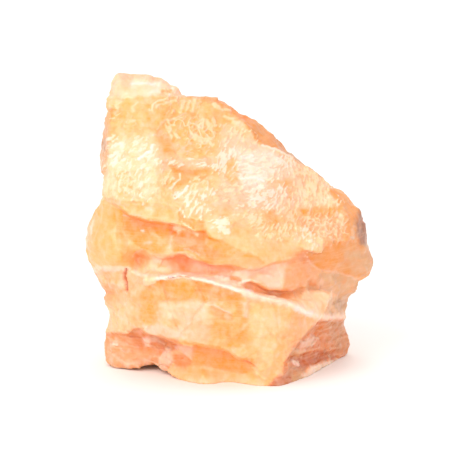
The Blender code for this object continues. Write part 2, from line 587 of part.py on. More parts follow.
def centre_and_scale(mesh):
    """Puts the origin in the middle of the base and turns millimetres into metres."""
    places = np.empty(len(mesh.vertices) * 3)
    mesh.vertices.foreach_get("co", places)
    places = places.reshape(-1, 3)
    middle = (places.min(axis=0) + places.max(axis=0)) / 2
    middle[2] = 0.0
    print("middle of the stone, in survey millimetres:", np.round(middle, 2))
    mesh.vertices.foreach_set("co", ((places - middle) / 1000).ravel())
    mesh.update()


def calcite_material():
    material = bpy.data.materials.new("orange calcite")
    material.use_nodes = True
    shader = material.node_tree.nodes["Principled BSDF"]
    shader.inputs["Base Color"].default_value = (0.91, 0.36, 0.12, 1.0)
    shader.inputs["Roughness"].default_value = 0.42
    shader.inputs["Metallic"].default_value = 0.0
    shader.inputs["IOR"].default_value = 1.58
    return material


def make_calcite():
    outline = make_outline()
    mesh = closed_mesh(front_sheet(outline), back_sheet(outline), len(outline))
    mesh = evaluated_copy(mesh, "even skin", add_remesh)
    break_faces(mesh)
    roughen(mesh)
    mesh = evaluated_copy(mesh, "thinned", add_decimate)
    cut_base(mesh)
    centre_and_scale(mesh)
    mesh.materials.append(calcite_material())
    mesh.shade_smooth()
    mesh.set_sharp_from_angle(angle=math.radians(SHARP_EDGE_DEG))
    mesh.name = "calcite"
    stone = bpy.data.objects.new("calcite", mesh)
    bpy.context.scene.collection.objects.link(stone)


for old in list(bpy.data.objects):
    bpy.data.objects.remove(old)
make_calcite()
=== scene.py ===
import itertools
import math

import bmesh
import bpy
import numpy as np
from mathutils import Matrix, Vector
from mathutils.kdtree import KDTree


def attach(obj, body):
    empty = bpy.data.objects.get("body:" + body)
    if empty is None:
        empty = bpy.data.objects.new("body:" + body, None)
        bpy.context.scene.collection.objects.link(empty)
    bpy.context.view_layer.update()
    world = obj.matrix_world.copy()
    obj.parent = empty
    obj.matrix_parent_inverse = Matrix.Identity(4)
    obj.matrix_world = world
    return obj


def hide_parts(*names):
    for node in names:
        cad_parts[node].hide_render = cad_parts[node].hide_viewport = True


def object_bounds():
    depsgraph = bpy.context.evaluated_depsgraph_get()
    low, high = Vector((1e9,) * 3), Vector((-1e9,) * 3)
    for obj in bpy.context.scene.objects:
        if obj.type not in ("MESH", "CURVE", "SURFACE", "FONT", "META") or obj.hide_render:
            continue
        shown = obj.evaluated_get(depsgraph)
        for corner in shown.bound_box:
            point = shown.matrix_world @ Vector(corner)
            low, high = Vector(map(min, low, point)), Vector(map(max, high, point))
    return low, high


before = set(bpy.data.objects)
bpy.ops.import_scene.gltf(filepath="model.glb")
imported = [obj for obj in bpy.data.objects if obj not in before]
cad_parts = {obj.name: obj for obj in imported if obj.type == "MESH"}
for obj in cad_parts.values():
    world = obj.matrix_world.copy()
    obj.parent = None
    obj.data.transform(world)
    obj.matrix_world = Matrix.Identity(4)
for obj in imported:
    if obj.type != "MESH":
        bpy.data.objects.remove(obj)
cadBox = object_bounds()
print("stage: frame loaded")

# The photograph's view. Places on the stone's front are given in its pixels, 460 by 460.
view = {
    "tilt": 12.0,                          # degrees that the camera looks down
    "aim": (0.00019, -0.00048, 0.04856),   # what lies in the middle of the picture, in metres
    "away": 3.0,
    "across": 0.161,                       # width of the picture at the stone
    "pixels": 460,
    "film": 36.0,
}

studio = {
    "overexposed": 1.27,      # how much brighter the photograph is than the stone
    "redClipped": 0.94,       # linear red that is clipped there
    "floorRadius": 8.0,
    "floorColour": "#FBFAF8",
    "sky": "#FFFFFF",
    "skyStrength": 0.94,
    "lamps": {
        # name: place, size, power, colour
        "key": ((-0.75, -1.05, 1.05), 1.1, 10.0, "#FFFFFF"),
        "front": ((0.05, -1.6, 0.55), 1.1, 5.4, "#FFFFFF"),
        "top": ((0.0, 0.9, 1.7), 1.4, 5.0, "#FFFFFF"),
    },
}


def linear(hexColour):
    # sRGB hex to Blender's linear colour
    parts = [int(hexColour[i:i + 2], 16) / 255 for i in (1, 3, 5)]
    return tuple(p / 12.92 if p <= 0.04045 else ((p + 0.055) / 1.055) ** 2.4 for p in parts) + (1.0,)


def addNode(tree, kind, inputs=None, out=0, **settings):
    # a node with its settings, and its inputs set to a value or linked to another node's output
    node = tree.nodes.new(kind)
    for name, value in settings.items():
        setattr(node, name, value)
    for name, value in (inputs or {}).items():
        if isinstance(value, bpy.types.NodeSocket):
            tree.links.new(value, node.inputs[name])
        else:
            node.inputs[name].default_value = value
    return node.outputs[out] if node.outputs else node


def sightLines():
    # unit vectors towards the camera, and up in the picture
    tilt = math.radians(view["tilt"])
    return np.array([0.0, -math.cos(tilt), math.sin(tilt)]), np.array([0.0, math.sin(tilt), math.cos(tilt)])


def makeCamera():
    lens = bpy.data.cameras.new("camera")
    lens.sensor_width = view["film"]
    lens.lens = view["film"] * view["away"] / view["across"]
    lens.clip_start = 0.1
    lens.clip_end = 50.0
    camera = bpy.data.objects.new("camera", lens)
    camera.location = Vector(view["aim"]) + Vector(sightLines()[0]) * view["away"]
    camera.rotation_euler = (math.pi / 2 - math.radians(view["tilt"]), 0.0, 0.0)
    bpy.context.scene.collection.objects.link(camera)
    bpy.context.scene.camera = camera


def makeStudio():
    scene = bpy.context.scene
    scene.view_settings.view_transform = "Standard"
    world = bpy.data.worlds.new("white room")
    world.use_nodes = True
    background = world.node_tree.nodes["Background"]
    background.inputs["Color"].default_value = linear(studio["sky"])
    background.inputs["Strength"].default_value = studio["skyStrength"]
    scene.world = world
    for name, (place, size, power, colour) in studio["lamps"].items():
        light = bpy.data.lights.new(name, "AREA")
        light.shape = "DISK"
        light.size = size
        light.energy = power
        light.color = linear(colour)[:3]
        lamp = bpy.data.objects.new(name, light)
        lamp.location = place
        lamp.rotation_euler = (Vector(view["aim"]) - Vector(place)).to_track_quat("-Z", "Y").to_euler()
        scene.collection.objects.link(lamp)
    bm = bmesh.new()
    bmesh.ops.create_circle(bm, cap_ends=True, segments=96, radius=studio["floorRadius"])
    mesh = bpy.data.meshes.new("floor")
    bm.to_mesh(mesh)
    bm.free()
    paper = bpy.data.materials.new("whitePaperSweep")
    paper.use_nodes = True
    shader = paper.node_tree.nodes["Principled BSDF"]
    shader.inputs["Base Color"].default_value = linear(studio["floorColour"])
    shader.inputs["Roughness"].default_value = 0.9
    mesh.materials.append(paper)
    floor = bpy.data.objects.new("floor", mesh)
    scene.collection.objects.link(floor)


makeCamera()
makeStudio()
print("stage: camera and studio made")

# The stone. Lengths in this dictionary are millimetres.
stone = {
    "grain": 0.34,                # the fine mesh's spacing
    "soften": 3,                  # rounds of smoothing that take the solid's flat triangles away
    "thinFront": 0.1,             # how freely the mesh is thinned on the front, off the skin, 0 to 1
    "thinBack": 0.75,             # and on the sides and back
    "triangles": 190000,
    "groundClear": 1.2,           # the grain fades this near the ground
    "groundShare": 0.7,           # and all else moves by no more than this share of a place's height
    "facets": ((24.0, 0.11, 0.45), (12.0, 0.14, 0.35), (6.0, 0.10, 0.12)),   # size, slope, step
    "facetRise": 1.2,             # how far they stand out at most, and half of how far they go in
    "breakNoise": ((6.0, 0.40), (2.6, 0.22), (1.3, 0.12)),   # size and reach of the break's bumps
    "swell": 0.35,                # makes up for what smoothing takes off the stone's outline
    "smoothShare": 0.15,          # how much of the facets and bumps is left on glassy breaks
    "frontShare": 0.22,           # and of the facets on the rest of the front
    "shaped": (0.0, 0.3),         # facing over which the front's own shapes set in, 1 is towards the camera
    "marked": (-0.2, 0.12),       # and its marks, which reach a little round the edge
    "veinHeight": 28.5,           # of the pale vein's plane at the stone's middle
    "bedDip": (-0.235, 0.06),     # fall of the beds to the right, and to the back
    "bedWander": (14.0, 1.2),     # over what distance they stray from flat, and how far
    "plateThickness": 3.0,        # thin torn beds at the right end and in the hollows
    "plateStep": 0.55,            # how far the edge of one stands over the next
    "flakeHeight": 0.24,
    "flakeSize": (0.85, 2.7),     # width and length of the skin's flakes
    "flakeTurn": 60.0,            # square pixels, softens the turn from one run of flakes to the next
    "flakeCover": 0.82,
    "flakeFade": 16.0,            # pixels over which a patch of flakes ends
    "cloudCover": 0.25,           # how much the cloudy patches inside the stone cover
    "blend": 1.3,                 # the power that widens the soft edges of marks
    "fray": ((4.5, 1.8), (1.6, 0.9), (0.8, 0.5)),            # size, and reach in pixels, of ragged edges
    "drift": (7.0, 9.0),          # the same for where flakes begin and end
    "seed": 7,
}


def stoneCopy():
    # the solid's mesh is loose triangles, so its doubles are merged before it is remeshed
    bm = bmesh.new()
    bm.from_mesh(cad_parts["calcite"].data)
    bmesh.ops.remove_doubles(bm, verts=bm.verts, dist=1e-6)
    mesh = bpy.data.meshes.new("orangeCalcite")
    bm.to_mesh(mesh)
    bm.free()
    piece = bpy.data.objects.new("orangeCalcite", mesh)
    bpy.context.scene.collection.objects.link(piece)
    return piece


def applyModifiers(piece):
    # the piece's mesh after its modifiers, as a plain mesh
    graph = bpy.context.evaluated_depsgraph_get()
    mesh = bpy.data.meshes.new_from_object(piece.evaluated_get(graph))
    old = piece.data
    piece.modifiers.clear()
    piece.data = mesh
    bpy.data.meshes.remove(old)
    mesh.name = piece.name


def readPoints(mesh, what="co"):
    # places in millimetres, or unit normals
    values = np.empty(len(mesh.vertices) * 3)
    mesh.vertices.foreach_get(what, values)
    return values.reshape(-1, 3) * (1000.0 if what == "co" else 1.0)


def ramp(values, low, high):
    # smooth rise from 0 at low to 1 at high
    t = np.clip((values - low) / (high - low), 0.0, 1.0)
    return t * t * (3.0 - 2.0 * t)


def pushOut(mesh, reach):
    # moves the surface along its normals by millimetres, and leaves the foot where it stands
    points = readPoints(mesh)
    limit = stone["groundShare"] * np.maximum(points[:, 2], 0.0)
    reach = np.clip(reach, -limit, limit)
    points += readPoints(mesh, "normal") * reach[:, None]
    mesh.vertices.foreach_set("co", (points / 1000.0).ravel())
    mesh.update()


def turned(mesh):
    # 1 where the surface faces the camera, 0 at its edge, below 0 behind
    return readPoints(mesh, "normal") @ sightLines()[0]


def roughNoise(points, size, seed):
    # gradient noise, about -1 to 1, with bumps of the given size
    rng = np.random.default_rng(seed)
    slopes = rng.normal(size=(256, 3))
    slopes /= np.linalg.norm(slopes, axis=1)[:, None]
    order = rng.permutation(256)
    scaled = points / size + 91.7
    cell = np.floor(scaled).astype(int)
    part = scaled - cell
    ease = part ** 3 * (part * (part * 6.0 - 15.0) + 10.0)
    total = np.zeros(len(points))
    for corner in itertools.product((0, 1), repeat=3):
        at = (cell + corner) & 255
        slope = slopes[order[(order[(order[at[:, 0]] + at[:, 1]) & 255] + at[:, 2]) & 255]]
        share = np.prod(np.where(corner, ease, 1.0 - ease), axis=1)
        total += share * ((part - corner) * slope).sum(axis=1)
    return 1.6 * total


def photoPlace(points):
    # where the camera sees each point, in the photograph's pixels
    back, up = sightLines()
    fromAim = points / 1000.0 - np.array(view["aim"])
    scale = view["pixels"] / view["across"] * view["away"] / (view["away"] - fromAim @ back)
    return np.column_stack([
        view["pixels"] / 2 + fromAim[:, 0] * scale,
        view["pixels"] / 2 - fromAim @ up * scale,
    ])


def makeFineMesh():
    piece = stoneCopy()
    remesh = piece.modifiers.new("even grain", "REMESH")
    remesh.mode = "VOXEL"
    remesh.voxel_size = stone["grain"] / 1000
    smooth = piece.modifiers.new("soften", "SMOOTH")
    smooth.factor = 0.5
    smooth.iterations = stone["soften"]
    applyModifiers(piece)
    print("stage: fine mesh,", 2 * len(piece.data.polygons), "triangles")
    return piece


def thinMesh(piece):
    # all but the skin is thinned, the sides and back most
    mesh = piece.data
    front = ramp(turned(mesh), *stone["shaped"])
    weights = stone["thinBack"] + (stone["thinFront"] - stone["thinBack"]) * front
    weights *= 1.0 - coverOf(photoPlace(readPoints(mesh)), areas[0][1]) * front
    group = piece.vertex_groups.new(name="thinned")
    for level in range(1, 11):
        chosen = np.nonzero(np.round(weights * 10.0) == level)[0]
        group.add(chosen.tolist(), level / 10.0, "REPLACE")
    thin = piece.modifiers.new("thin", "DECIMATE")
    thin.vertex_group = "thinned"
    thin.ratio = stone["triangles"] / (2 * len(mesh.polygons))
    applyModifiers(piece)
    piece.vertex_groups.clear()
    print("stage: thinned to", len(piece.data.polygons), "triangles")


# Outlines and lines below are in the photograph's pixels.
# Glassy breaks, where the surface runs smooth
smoothAreas = (
    ((103, 199), (121, 206), (150, 204), (180, 208), (207, 222), (246, 228), (262, 241), (288, 241),
     (300, 248), (277, 261), (262, 268), (240, 267), (213, 265), (186, 253), (150, 255), (134, 266),
     (94, 268), (82, 255), (80, 240), (84, 225)),
    ((232, 106), (250, 117), (278, 130), (290, 152), (262, 148), (247, 128)),
    ((303, 251), (325, 240), (350, 238), (378, 256), (368, 272), (350, 279), (322, 271), (286, 290),
     (284, 275)),
    ((176, 343), (210, 345), (240, 358), (254, 371), (262, 384), (200, 386), (174, 378)),
    ((111, 80), (166, 80), (163, 94), (111, 99)),
)

# Where thin beds are torn into plates
tornAreas = (
    ((322, 319), (330, 297), (362, 294), (358, 320), (358, 360), (318, 368), (284, 384), (284, 362),
     (300, 338)),
    ((102, 334), (132, 330), (176, 341), (190, 360), (170, 370), (102, 370)),
)

# Marks on the front, laid in this order: what it is, its outline, its pigment, how much it
# covers, how soft its edge is in pixels, and how proud it stands in millimetres
# Some of these marks are painted shade in the hollows, grooves and under the ledges, and a few are painted
# light and highlights
areas = (
    ("slab", ((106, 97), (163, 95), (184, 95), (232, 106), (264, 145), (292, 155), (322, 176), (348, 198),
     (360, 212), (352, 240), (330, 242), (324, 240), (320, 251), (300, 248), (288, 241), (262, 241),
     (256, 232), (246, 228), (236, 222), (228, 228), (216, 228), (207, 222), (196, 222), (190, 218),
     (183, 218), (178, 207), (160, 204), (140, 203), (120, 200), (103, 198), (104, 170), (108, 150)),
     "honey", 0.85, 1.2, 0.35),
    ("cap", ((108, 99), (110, 85), (116, 70), (152, 70), (168, 80), (186, 97), (164, 97), (150, 97),
     (130, 99)), "butter", 0.85, 1.2, 0.0),
    ("cap's blush side", ((108, 99), (110, 84), (120, 74), (124, 84), (120, 98)), "peach", 0.5, 5.0, 0.0),
    ("cap's rim", ((116, 72), (152, 72), (168, 82), (186, 98), (180, 99), (164, 86), (150, 79),
     (118, 79)), "peach", 0.75, 2.5, 0.0),
    ("under the cap", ((106, 99), (130, 99), (150, 97), (163, 95), (160, 104), (153, 112), (152, 128),
     (142, 136), (120, 137), (112, 150), (106, 150)), "gold", 0.8, 4.0, 0.0),
    ("deep under the cap", ((136, 104), (146, 98), (163, 96), (153, 108), (156, 122), (148, 133),
     (136, 132), (130, 120)), "gold", 0.8, 7.0, -0.3),
    ("slab's top", ((156, 103), (176, 100), (205, 98), (232, 106), (240, 120), (226, 128), (215, 117),
     (200, 118), (175, 117), (160, 120), (154, 112)), "gold", 0.75, 4.0, 0.0),
    ("worm field", ((156, 120), (178, 114), (214, 114), (222, 128), (218, 148), (196, 152), (186, 146),
     (176, 152), (164, 152), (156, 140)), "gold", 0.85, 4.0, -0.1),
    ("salmon field", ((154, 126), (170, 136), (178, 150), (172, 158), (158, 156)),
     "flame", 0.45, 5.0, 0.0),
    ("orange middle", ((186, 148), (222, 147), (228, 150), (216, 158), (196, 160), (184, 156)),
     "gold", 0.7, 4.0, 0.0),
    ("pale ground left", ((108, 146), (118, 137), (136, 138), (152, 134), (158, 145), (156, 165),
     (154, 182), (156, 198), (140, 202), (121, 200), (102, 196), (104, 172)), "butter", 0.75, 9.0, 0.0),
    ("honey in the cream", ((114, 177), (123, 171), (137, 171), (138, 179), (134, 188), (130, 201),
     (116, 197), (121, 188)), "gold", 0.6, 2.5, -0.2),
    ("pale band", ((156, 157), (180, 160), (213, 158), (216, 166), (190, 167), (157, 172)),
     "blush", 0.55, 5.0, 0.0),
    # the skin is gone here and the orange shows, partly painted shade under its small step
    ("red streak", ((172, 167), (190, 167), (207, 169), (220, 172), (208, 178), (192, 183), (178, 188),
     (167, 184), (174, 176)), "amber", 0.7, 5.0, -0.12),
    # flame under the small step at the streak's top: painted shade
    ("shade under the small step", ((172, 166), (190, 168), (204, 170), (196, 174), (182, 173), (174, 176)),
     "flame", 0.5, 4.0, -0.1),
    ("orange low", ((206, 202), (232, 198), (240, 212), (226, 216), (210, 214)),
     "flame", 0.45, 6.0, -0.1),
    ("pale cloud", ((226, 126), (262, 146), (300, 164), (302, 200), (284, 214), (240, 212), (214, 205),
     (222, 176), (216, 160)), "blush", 0.6, 8.0, 0.0),
    ("cream cloud", ((172, 196), (216, 184), (218, 206), (250, 210), (262, 236), (230, 224), (200, 222),
     (180, 210)), "butter", 0.25, 7.0, 0.0),
    ("pale right", ((234, 148), (262, 150), (279, 157), (279, 178), (262, 188), (244, 188), (236, 170)),
     "cream", 0.7, 6.0, 0.0),
    ("orange beside it", ((226, 160), (234, 155), (238, 168), (240, 180), (230, 186), (222, 178)),
     "gold", 0.75, 5.0, -0.15),
    ("orange fleck", ((269, 176), (277, 174), (280, 183), (274, 188), (268, 184)),
     "apricot", 0.7, 4.0, -0.2),
    ("orange by the ridge", ((281, 182), (293, 180), (296, 196), (288, 200), (281, 194)),
     "amber", 0.6, 5.0, -0.15),
    ("peach mid right", ((240, 190), (270, 188), (285, 200), (270, 208), (245, 206)),
     "peach", 0.5, 7.0, 0.0),
    ("amber in the fan", ((262, 211), (276, 212), (280, 226), (268, 226)), "amber", 0.7, 4.0, -0.2),
    ("upright field", ((294, 172), (312, 172), (334, 190), (340, 207), (302, 208), (290, 196)),
     "peach", 0.6, 5.0, 0.0),
    # amber under a small step in the skin: painted shade
    ("shade under the right step", ((298, 209), (318, 208), (341, 208), (343, 213), (320, 217), (300, 216)),
     "amber", 0.8, 3.0, -0.25),
    ("worm field right", ((298, 217), (344, 214), (350, 226), (350, 238), (330, 242), (310, 236),
     (302, 228)), "salmon", 0.6, 3.0, -0.1),
    # ochre on the right shoulder, which turns away from the lamps: partly painted shade
    ("shaded right shoulder", ((326, 184), (340, 192), (352, 204), (362, 212), (362, 246), (346, 240),
     (343, 214), (332, 198)), "ochre", 0.75, 5.0, 0.0),
    # plum on the right end face, which turns away from the lamps: painted shade
    ("painted shade on the right edge", ((357, 206), (366, 208), (378, 240), (378, 262), (370, 268), (360, 247), (354, 226)),
     "plum", 0.95, 4.0, 0.4),
    ("ash spot", ((358, 246), (366, 245), (371, 250), (366, 254), (360, 252)), "ash", 0.8, 2.5, 0.1),
    # ochre of the smooth break, partly painted shade where the facet faces away to the right
    ("smooth facet behind", ((232, 104), (250, 115), (266, 120), (280, 130), (286, 143), (294, 154),
     (276, 150), (262, 147), (254, 140), (248, 130), (236, 118)), "ochre", 0.9, 2.5, 0.0),
    ("smooth facet's red edge", ((268, 128), (282, 130), (294, 153), (280, 151), (274, 142)),
     "rust", 0.3, 5.0, 0.0),
    ("orange top edge", ((184, 94), (200, 95), (222, 96), (240, 106), (252, 117), (244, 124), (232, 114),
     (214, 104), (200, 101), (188, 100)), "flame", 0.75, 4.0, 0.0),
    # gold under the skin's lip: painted shade from the overhang over the break's orange
    ("wall under the skin", ((120, 201), (140, 203), (160, 204), (172, 203), (179, 208), (181, 224),
     (155, 221), (131, 214), (121, 206)), "gold", 0.7, 1.2, -0.1),
    ("left bulb", ((103, 199), (121, 206), (131, 214), (124, 222), (124, 236), (133, 242), (141, 250),
     (134, 262), (128, 268), (90, 268), (78, 255), (78, 240), (82, 225), (92, 205)),
     "gold", 0.75, 1.2, 0.0),
    # deeper amber on the bulb's right side: painted shade
    ("bulb's shaded side", ((114, 204), (122, 207), (130, 214), (123, 223), (123, 236), (116, 232),
     (112, 216)), "amber", 0.7, 6.0, 0.0),
    ("bulb's pale rim", ((80, 226), (92, 216), (94, 232), (90, 250), (82, 250)), "peach", 0.6, 6.0, 0.0),
    ("lens", ((205, 230), (216, 228), (228, 228), (236, 222), (246, 228), (256, 232), (262, 241),
     (288, 241), (300, 248), (303, 251), (277, 261), (262, 268), (250, 260), (235, 248), (222, 240),
     (211, 238)), "honey", 0.95, 1.2, 0.0),
    # deep amber under the lip: partly the fresh break's orange, partly painted shade from the overhanging
    # skin
    ("lens's deep side", ((170, 230), (197, 234), (207, 230), (211, 238), (222, 240), (235, 248),
     (250, 253), (266, 263), (256, 267), (240, 267), (230, 262), (213, 266), (200, 261), (186, 253),
     (172, 253), (168, 246)), "amber", 0.95, 2.5, 0.0),
    # flame on the lens under the lip: painted shade over the break's orange
    ("lens's shade under the lip", ((172, 232), (186, 232), (206, 230), (206, 244), (224, 254), (214, 262), (196, 254),
     (184, 246), (172, 244)), "flame", 0.8, 5.0, 0.0),
    ("lens's lower rim", ((224, 254), (244, 257), (262, 262), (250, 268), (238, 267), (228, 262)),
     "apricot", 0.7, 3.0, 0.0),
    ("lobe", ((123, 214), (131, 214), (155, 221), (170, 224), (172, 240), (168, 250), (155, 253),
     (140, 247), (127, 239), (122, 226)), "amber", 0.95, 1.2, 0.0),
    # flame on the lobe's top under the lip: painted shade
    ("lobe's shade under the lip", ((124, 212), (134, 216), (158, 222), (156, 228), (134, 232), (124, 228)),
     "flame", 0.55, 5.0, 0.0),
    # paler gold on the lobe's lower right: painted light
    ("lobe's lit side", ((152, 232), (169, 228), (172, 246), (162, 252), (150, 249)),
     "gold", 0.45, 7.0, 0.0),
    # flame in the gap behind the loose flake: painted shade
    ("dark gap", ((168, 224), (176, 226), (175, 233), (170, 233)), "flame", 0.8, 1.5, -0.5),
    ("torn flakes", ((178, 207), (183, 217), (192, 218), (206, 222), (207, 232), (197, 236), (185, 228),
     (178, 219)), "amber", 0.85, 1.2, -0.4),
    ("loose flake", ((172, 229), (180, 223), (183, 230), (177, 234)), "butter", 0.9, 1.2, 0.4),
    # deeper salmon in the hole: painted shade
    ("little hole", ((135, 252), (143, 249), (150, 256), (148, 266), (140, 268), (136, 261)),
     "salmon", 0.6, 1.5, -0.3),
    ("deep seam", ((150, 257), (172, 255), (190, 256), (200, 262), (215, 266), (236, 268), (236, 275),
     (215, 272), (196, 274), (178, 274), (168, 268), (155, 262)), "peach", 0.85, 1.5, 0.0),
    # flame in the deepest part of the seam: painted shade
    ("deepest seam", ((166, 257), (188, 257), (190, 268), (186, 273), (174, 271)),
     "flame", 0.7, 3.0, -0.1),
    ("seam runs out right", ((215, 263), (240, 268), (262, 267), (280, 262), (300, 254), (300, 266),
     (285, 268), (262, 272), (235, 274)), "apricot", 0.8, 2.5, 0.0),
    ("pale ledge left", ((148, 261), (158, 265), (172, 272), (160, 277), (140, 277), (132, 268),
     (140, 266)), "butter", 0.8, 3.0, 0.0),
    ("pink ledge", ((184, 273), (215, 274), (250, 270), (252, 287), (232, 287), (215, 281), (196, 277)),
     "cream", 0.8, 2.5, 0.0),
    ("red in the ledge", ((230, 276), (242, 277), (240, 281), (231, 281)), "flame", 0.75, 1.5, -0.2),
    ("pink face", ((250, 268), (262, 266), (288, 264), (287, 276), (281, 290), (270, 288), (258, 284),
     (250, 280)), "blush", 0.75, 5.0, 0.0),
    # salmon in the groove over the vein: painted shade in the recess
    ("long groove", ((238, 284), (252, 281), (260, 284), (266, 289), (282, 291), (282, 297), (262, 294),
     (250, 290)), "salmon", 0.85, 1.5, -0.2),
    # salmon in the groove's right end: painted shade in the recess
    ("groove's right end", ((268, 292), (282, 290), (295, 286), (308, 288), (302, 296), (290, 299),
     (276, 297)), "salmon", 0.85, 1.5, -0.2),
    ("salmon facet", ((286, 262), (290, 258), (302, 251), (316, 262), (322, 271), (312, 280), (308, 289),
     (295, 287), (283, 290), (284, 275)), "salmon", 0.8, 4.0, 0.0),
    # rust under the pale tongue: painted shadow of the tongue
    ("shade under the tongue", ((294, 256), (304, 249), (322, 250), (318, 262), (304, 264)),
     "rust", 0.6, 4.0, 0.0),
    # ochre here is partly painted shade, as this face turns down and to the right
    ("right face", ((303, 251), (320, 251), (330, 242), (350, 240), (374, 252), (380, 262), (370, 274),
     (350, 279), (335, 274), (322, 271), (312, 262)), "ochre", 0.9, 1.5, 0.0),
    ("right face's far end", ((346, 250), (362, 250), (378, 262), (368, 276), (348, 272)),
     "tan", 0.8, 7.0, 0.0),
    ("brown strip", ((310, 281), (322, 272), (340, 274), (362, 280), (362, 296), (340, 298), (332, 292),
     (308, 290)), "tan", 0.9, 1.5, 0.0),
    ("strip's red start", ((306, 278), (322, 274), (328, 290), (308, 290)), "salmon", 0.6, 5.0, 0.0),
    ("plate", ((298, 301), (306, 290), (332, 291), (332, 298), (326, 306), (322, 318), (312, 313)),
     "butter", 0.7, 2.0, 0.3),
    ("rough end", ((330, 297), (354, 293), (354, 306), (348, 320), (320, 319), (327, 308)),
     "tan", 0.8, 2.0, 0.0),
    ("rough end's brown", ((336, 299), (354, 296), (352, 307), (340, 311), (334, 306)),
     "umber", 0.75, 3.0, -0.2),
    ("stone under the bulb", ((86, 268), (134, 268), (142, 278), (143, 290), (141, 302), (98, 302),
     (98, 284)), "apricot", 0.85, 2.0, 0.0),
    ("pale seam under the bulb", ((84, 266), (110, 266), (130, 266), (130, 271), (110, 271), (90, 272)),
     "cream", 0.6, 2.0, 0.0),
    ("dark lumps", ((100, 284), (114, 284), (114, 292), (111, 306), (101, 302)),
     "salmon", 0.75, 2.0, 0.25),
    ("orange lump", ((104, 273), (121, 273), (121, 283), (108, 284)), "amber", 0.6, 2.5, 0.2),
    ("lower left", ((104, 300), (141, 298), (142, 325), (127, 334), (120, 331), (104, 334)),
     "apricot", 0.8, 4.0, 0.0),
    ("lower left's pale", ((106, 306), (126, 304), (136, 314), (128, 331), (106, 332)),
     "straw", 0.65, 7.0, 0.0),
    # deeper amber under the vein ridge: partly painted shade
    ("band under the vein", ((143, 288), (158, 281), (192, 281), (215, 286), (240, 294), (244, 300),
     (208, 303), (165, 301), (150, 300), (140, 300)), "amber", 0.85, 3.0, -0.1),
    # deeper amber in the concave scoop: painted shade
    ("scoop", ((143, 296), (156, 298), (162, 306), (164, 314), (158, 323), (142, 325), (140, 308)),
     "amber", 0.8, 5.0, -0.2),
    ("pale facet", ((160, 303), (172, 302), (192, 302), (209, 303), (211, 318), (211, 343), (190, 341),
     (186, 336), (176, 330), (168, 320), (163, 312)), "peach", 0.75, 5.0, 0.4),
    ("pale facet's left", ((160, 304), (174, 304), (178, 318), (168, 321), (163, 312)),
     "butter", 0.6, 5.0, 0.1),
    ("notch in the pale facet", ((168, 319), (178, 319), (180, 324), (174, 327)),
     "amber", 0.7, 2.0, -0.2),
    ("peach under it", ((172, 326), (184, 330), (196, 334), (190, 341), (176, 334)),
     "peach", 0.6, 3.0, 0.0),
    ("strip on the lip", ((142, 325), (160, 324), (176, 331), (190, 341), (172, 337), (147, 334)),
     "blush", 0.75, 2.5, 0.1),
    ("red top of the block", ((196, 285), (220, 287), (244, 296), (240, 308), (222, 302), (208, 299),
     (196, 293)), "flame", 0.8, 5.0, 0.0),
    ("central orange", ((210, 303), (226, 298), (244, 300), (252, 320), (252, 345), (232, 349),
     (211, 343), (211, 320)), "amber", 0.85, 8.0, -0.1),
    ("small ledge's root", ((210, 305), (222, 309), (232, 314), (234, 322), (216, 318)),
     "flame", 0.7, 3.0, -0.2),
    ("pale flake", ((243, 303), (248, 303), (248, 318), (243, 317)), "blush", 0.7, 2.0, 0.3),
    ("peach facet", ((250, 300), (280, 304), (300, 311), (320, 319), (300, 339), (289, 355), (284, 365),
     (270, 385), (252, 385), (250, 370), (248, 357), (250, 330)), "gold", 0.65, 5.0, 0.0),
    ("peach facet's pale middle", ((256, 306), (276, 308), (286, 322), (276, 344), (270, 376),
     (256, 376)), "straw", 0.6, 8.0, 0.0),
    ("streaks under the vein", ((246, 294), (262, 297), (262, 303), (248, 303)),
     "salmon", 0.6, 2.5, -0.1),
    ("peach facet's tan side", ((292, 314), (318, 319), (300, 338), (286, 356), (282, 340)),
     "tan", 0.45, 6.0, 0.0),
    # salmon in the hollow under the lower-left ledge: partly painted shade
    ("left hollow", ((102, 333), (120, 331), (127, 334), (132, 328), (141, 326), (147, 334), (163, 336),
     (176, 339), (178, 350), (170, 352), (160, 356), (152, 370), (120, 370), (102, 366)),
     "salmon", 0.9, 1.2, 0.0),
    # rust just under the ledge: painted shade
    ("shade under the left ledge", ((130, 332), (148, 336), (176, 339), (178, 350), (164, 352), (140, 348)),
     "rust", 0.7, 5.0, -0.2),
    ("left hollow's floor", ((104, 350), (150, 352), (152, 370), (104, 368)), "tan", 0.35, 5.0, 0.0),
    # amber in the hollow under the lower lip: partly painted shade
    ("middle hollow", ((176, 341), (190, 342), (210, 345), (230, 351), (238, 357), (252, 358), (254, 371),
     (240, 374), (215, 369), (195, 366), (174, 367), (172, 354), (190, 359), (184, 350)),
     "amber", 0.85, 1.5, 0.0),
    # rust in the hollow's corner: painted shade
    ("middle hollow's left", ((172, 353), (186, 354), (192, 362), (182, 372), (174, 368)),
     "rust", 0.6, 3.0, 0.0),
    ("pale lump left", ((143, 339), (150, 338), (151, 347), (145, 348)), "cream", 0.7, 2.0, 0.5),
    ("pale lump middle", ((158, 356), (166, 347), (173, 352), (173, 360), (168, 370), (160, 368)),
     "blush", 0.8, 2.5, 0.8),
    ("pale lump right", ((174, 347), (184, 344), (193, 345), (192, 360), (188, 356), (182, 352)),
     "blush", 0.8, 2.5, 0.6),
    ("bulge", ((172, 367), (195, 366), (215, 370), (240, 374), (258, 372), (266, 388), (240, 388),
     (215, 390), (188, 388), (174, 380)), "gold", 0.6, 4.0, 0.0),
    ("bulge's foot", ((186, 378), (215, 379), (245, 378), (266, 380), (266, 390), (190, 390)),
     "butter", 0.6, 4.0, 0.0),
    # rust in the hollow under the right overhang: partly the stone's deep colour, partly painted shade
    ("right hollow", ((320, 319), (348, 318), (350, 330), (356, 345), (358, 358), (335, 361), (318, 364),
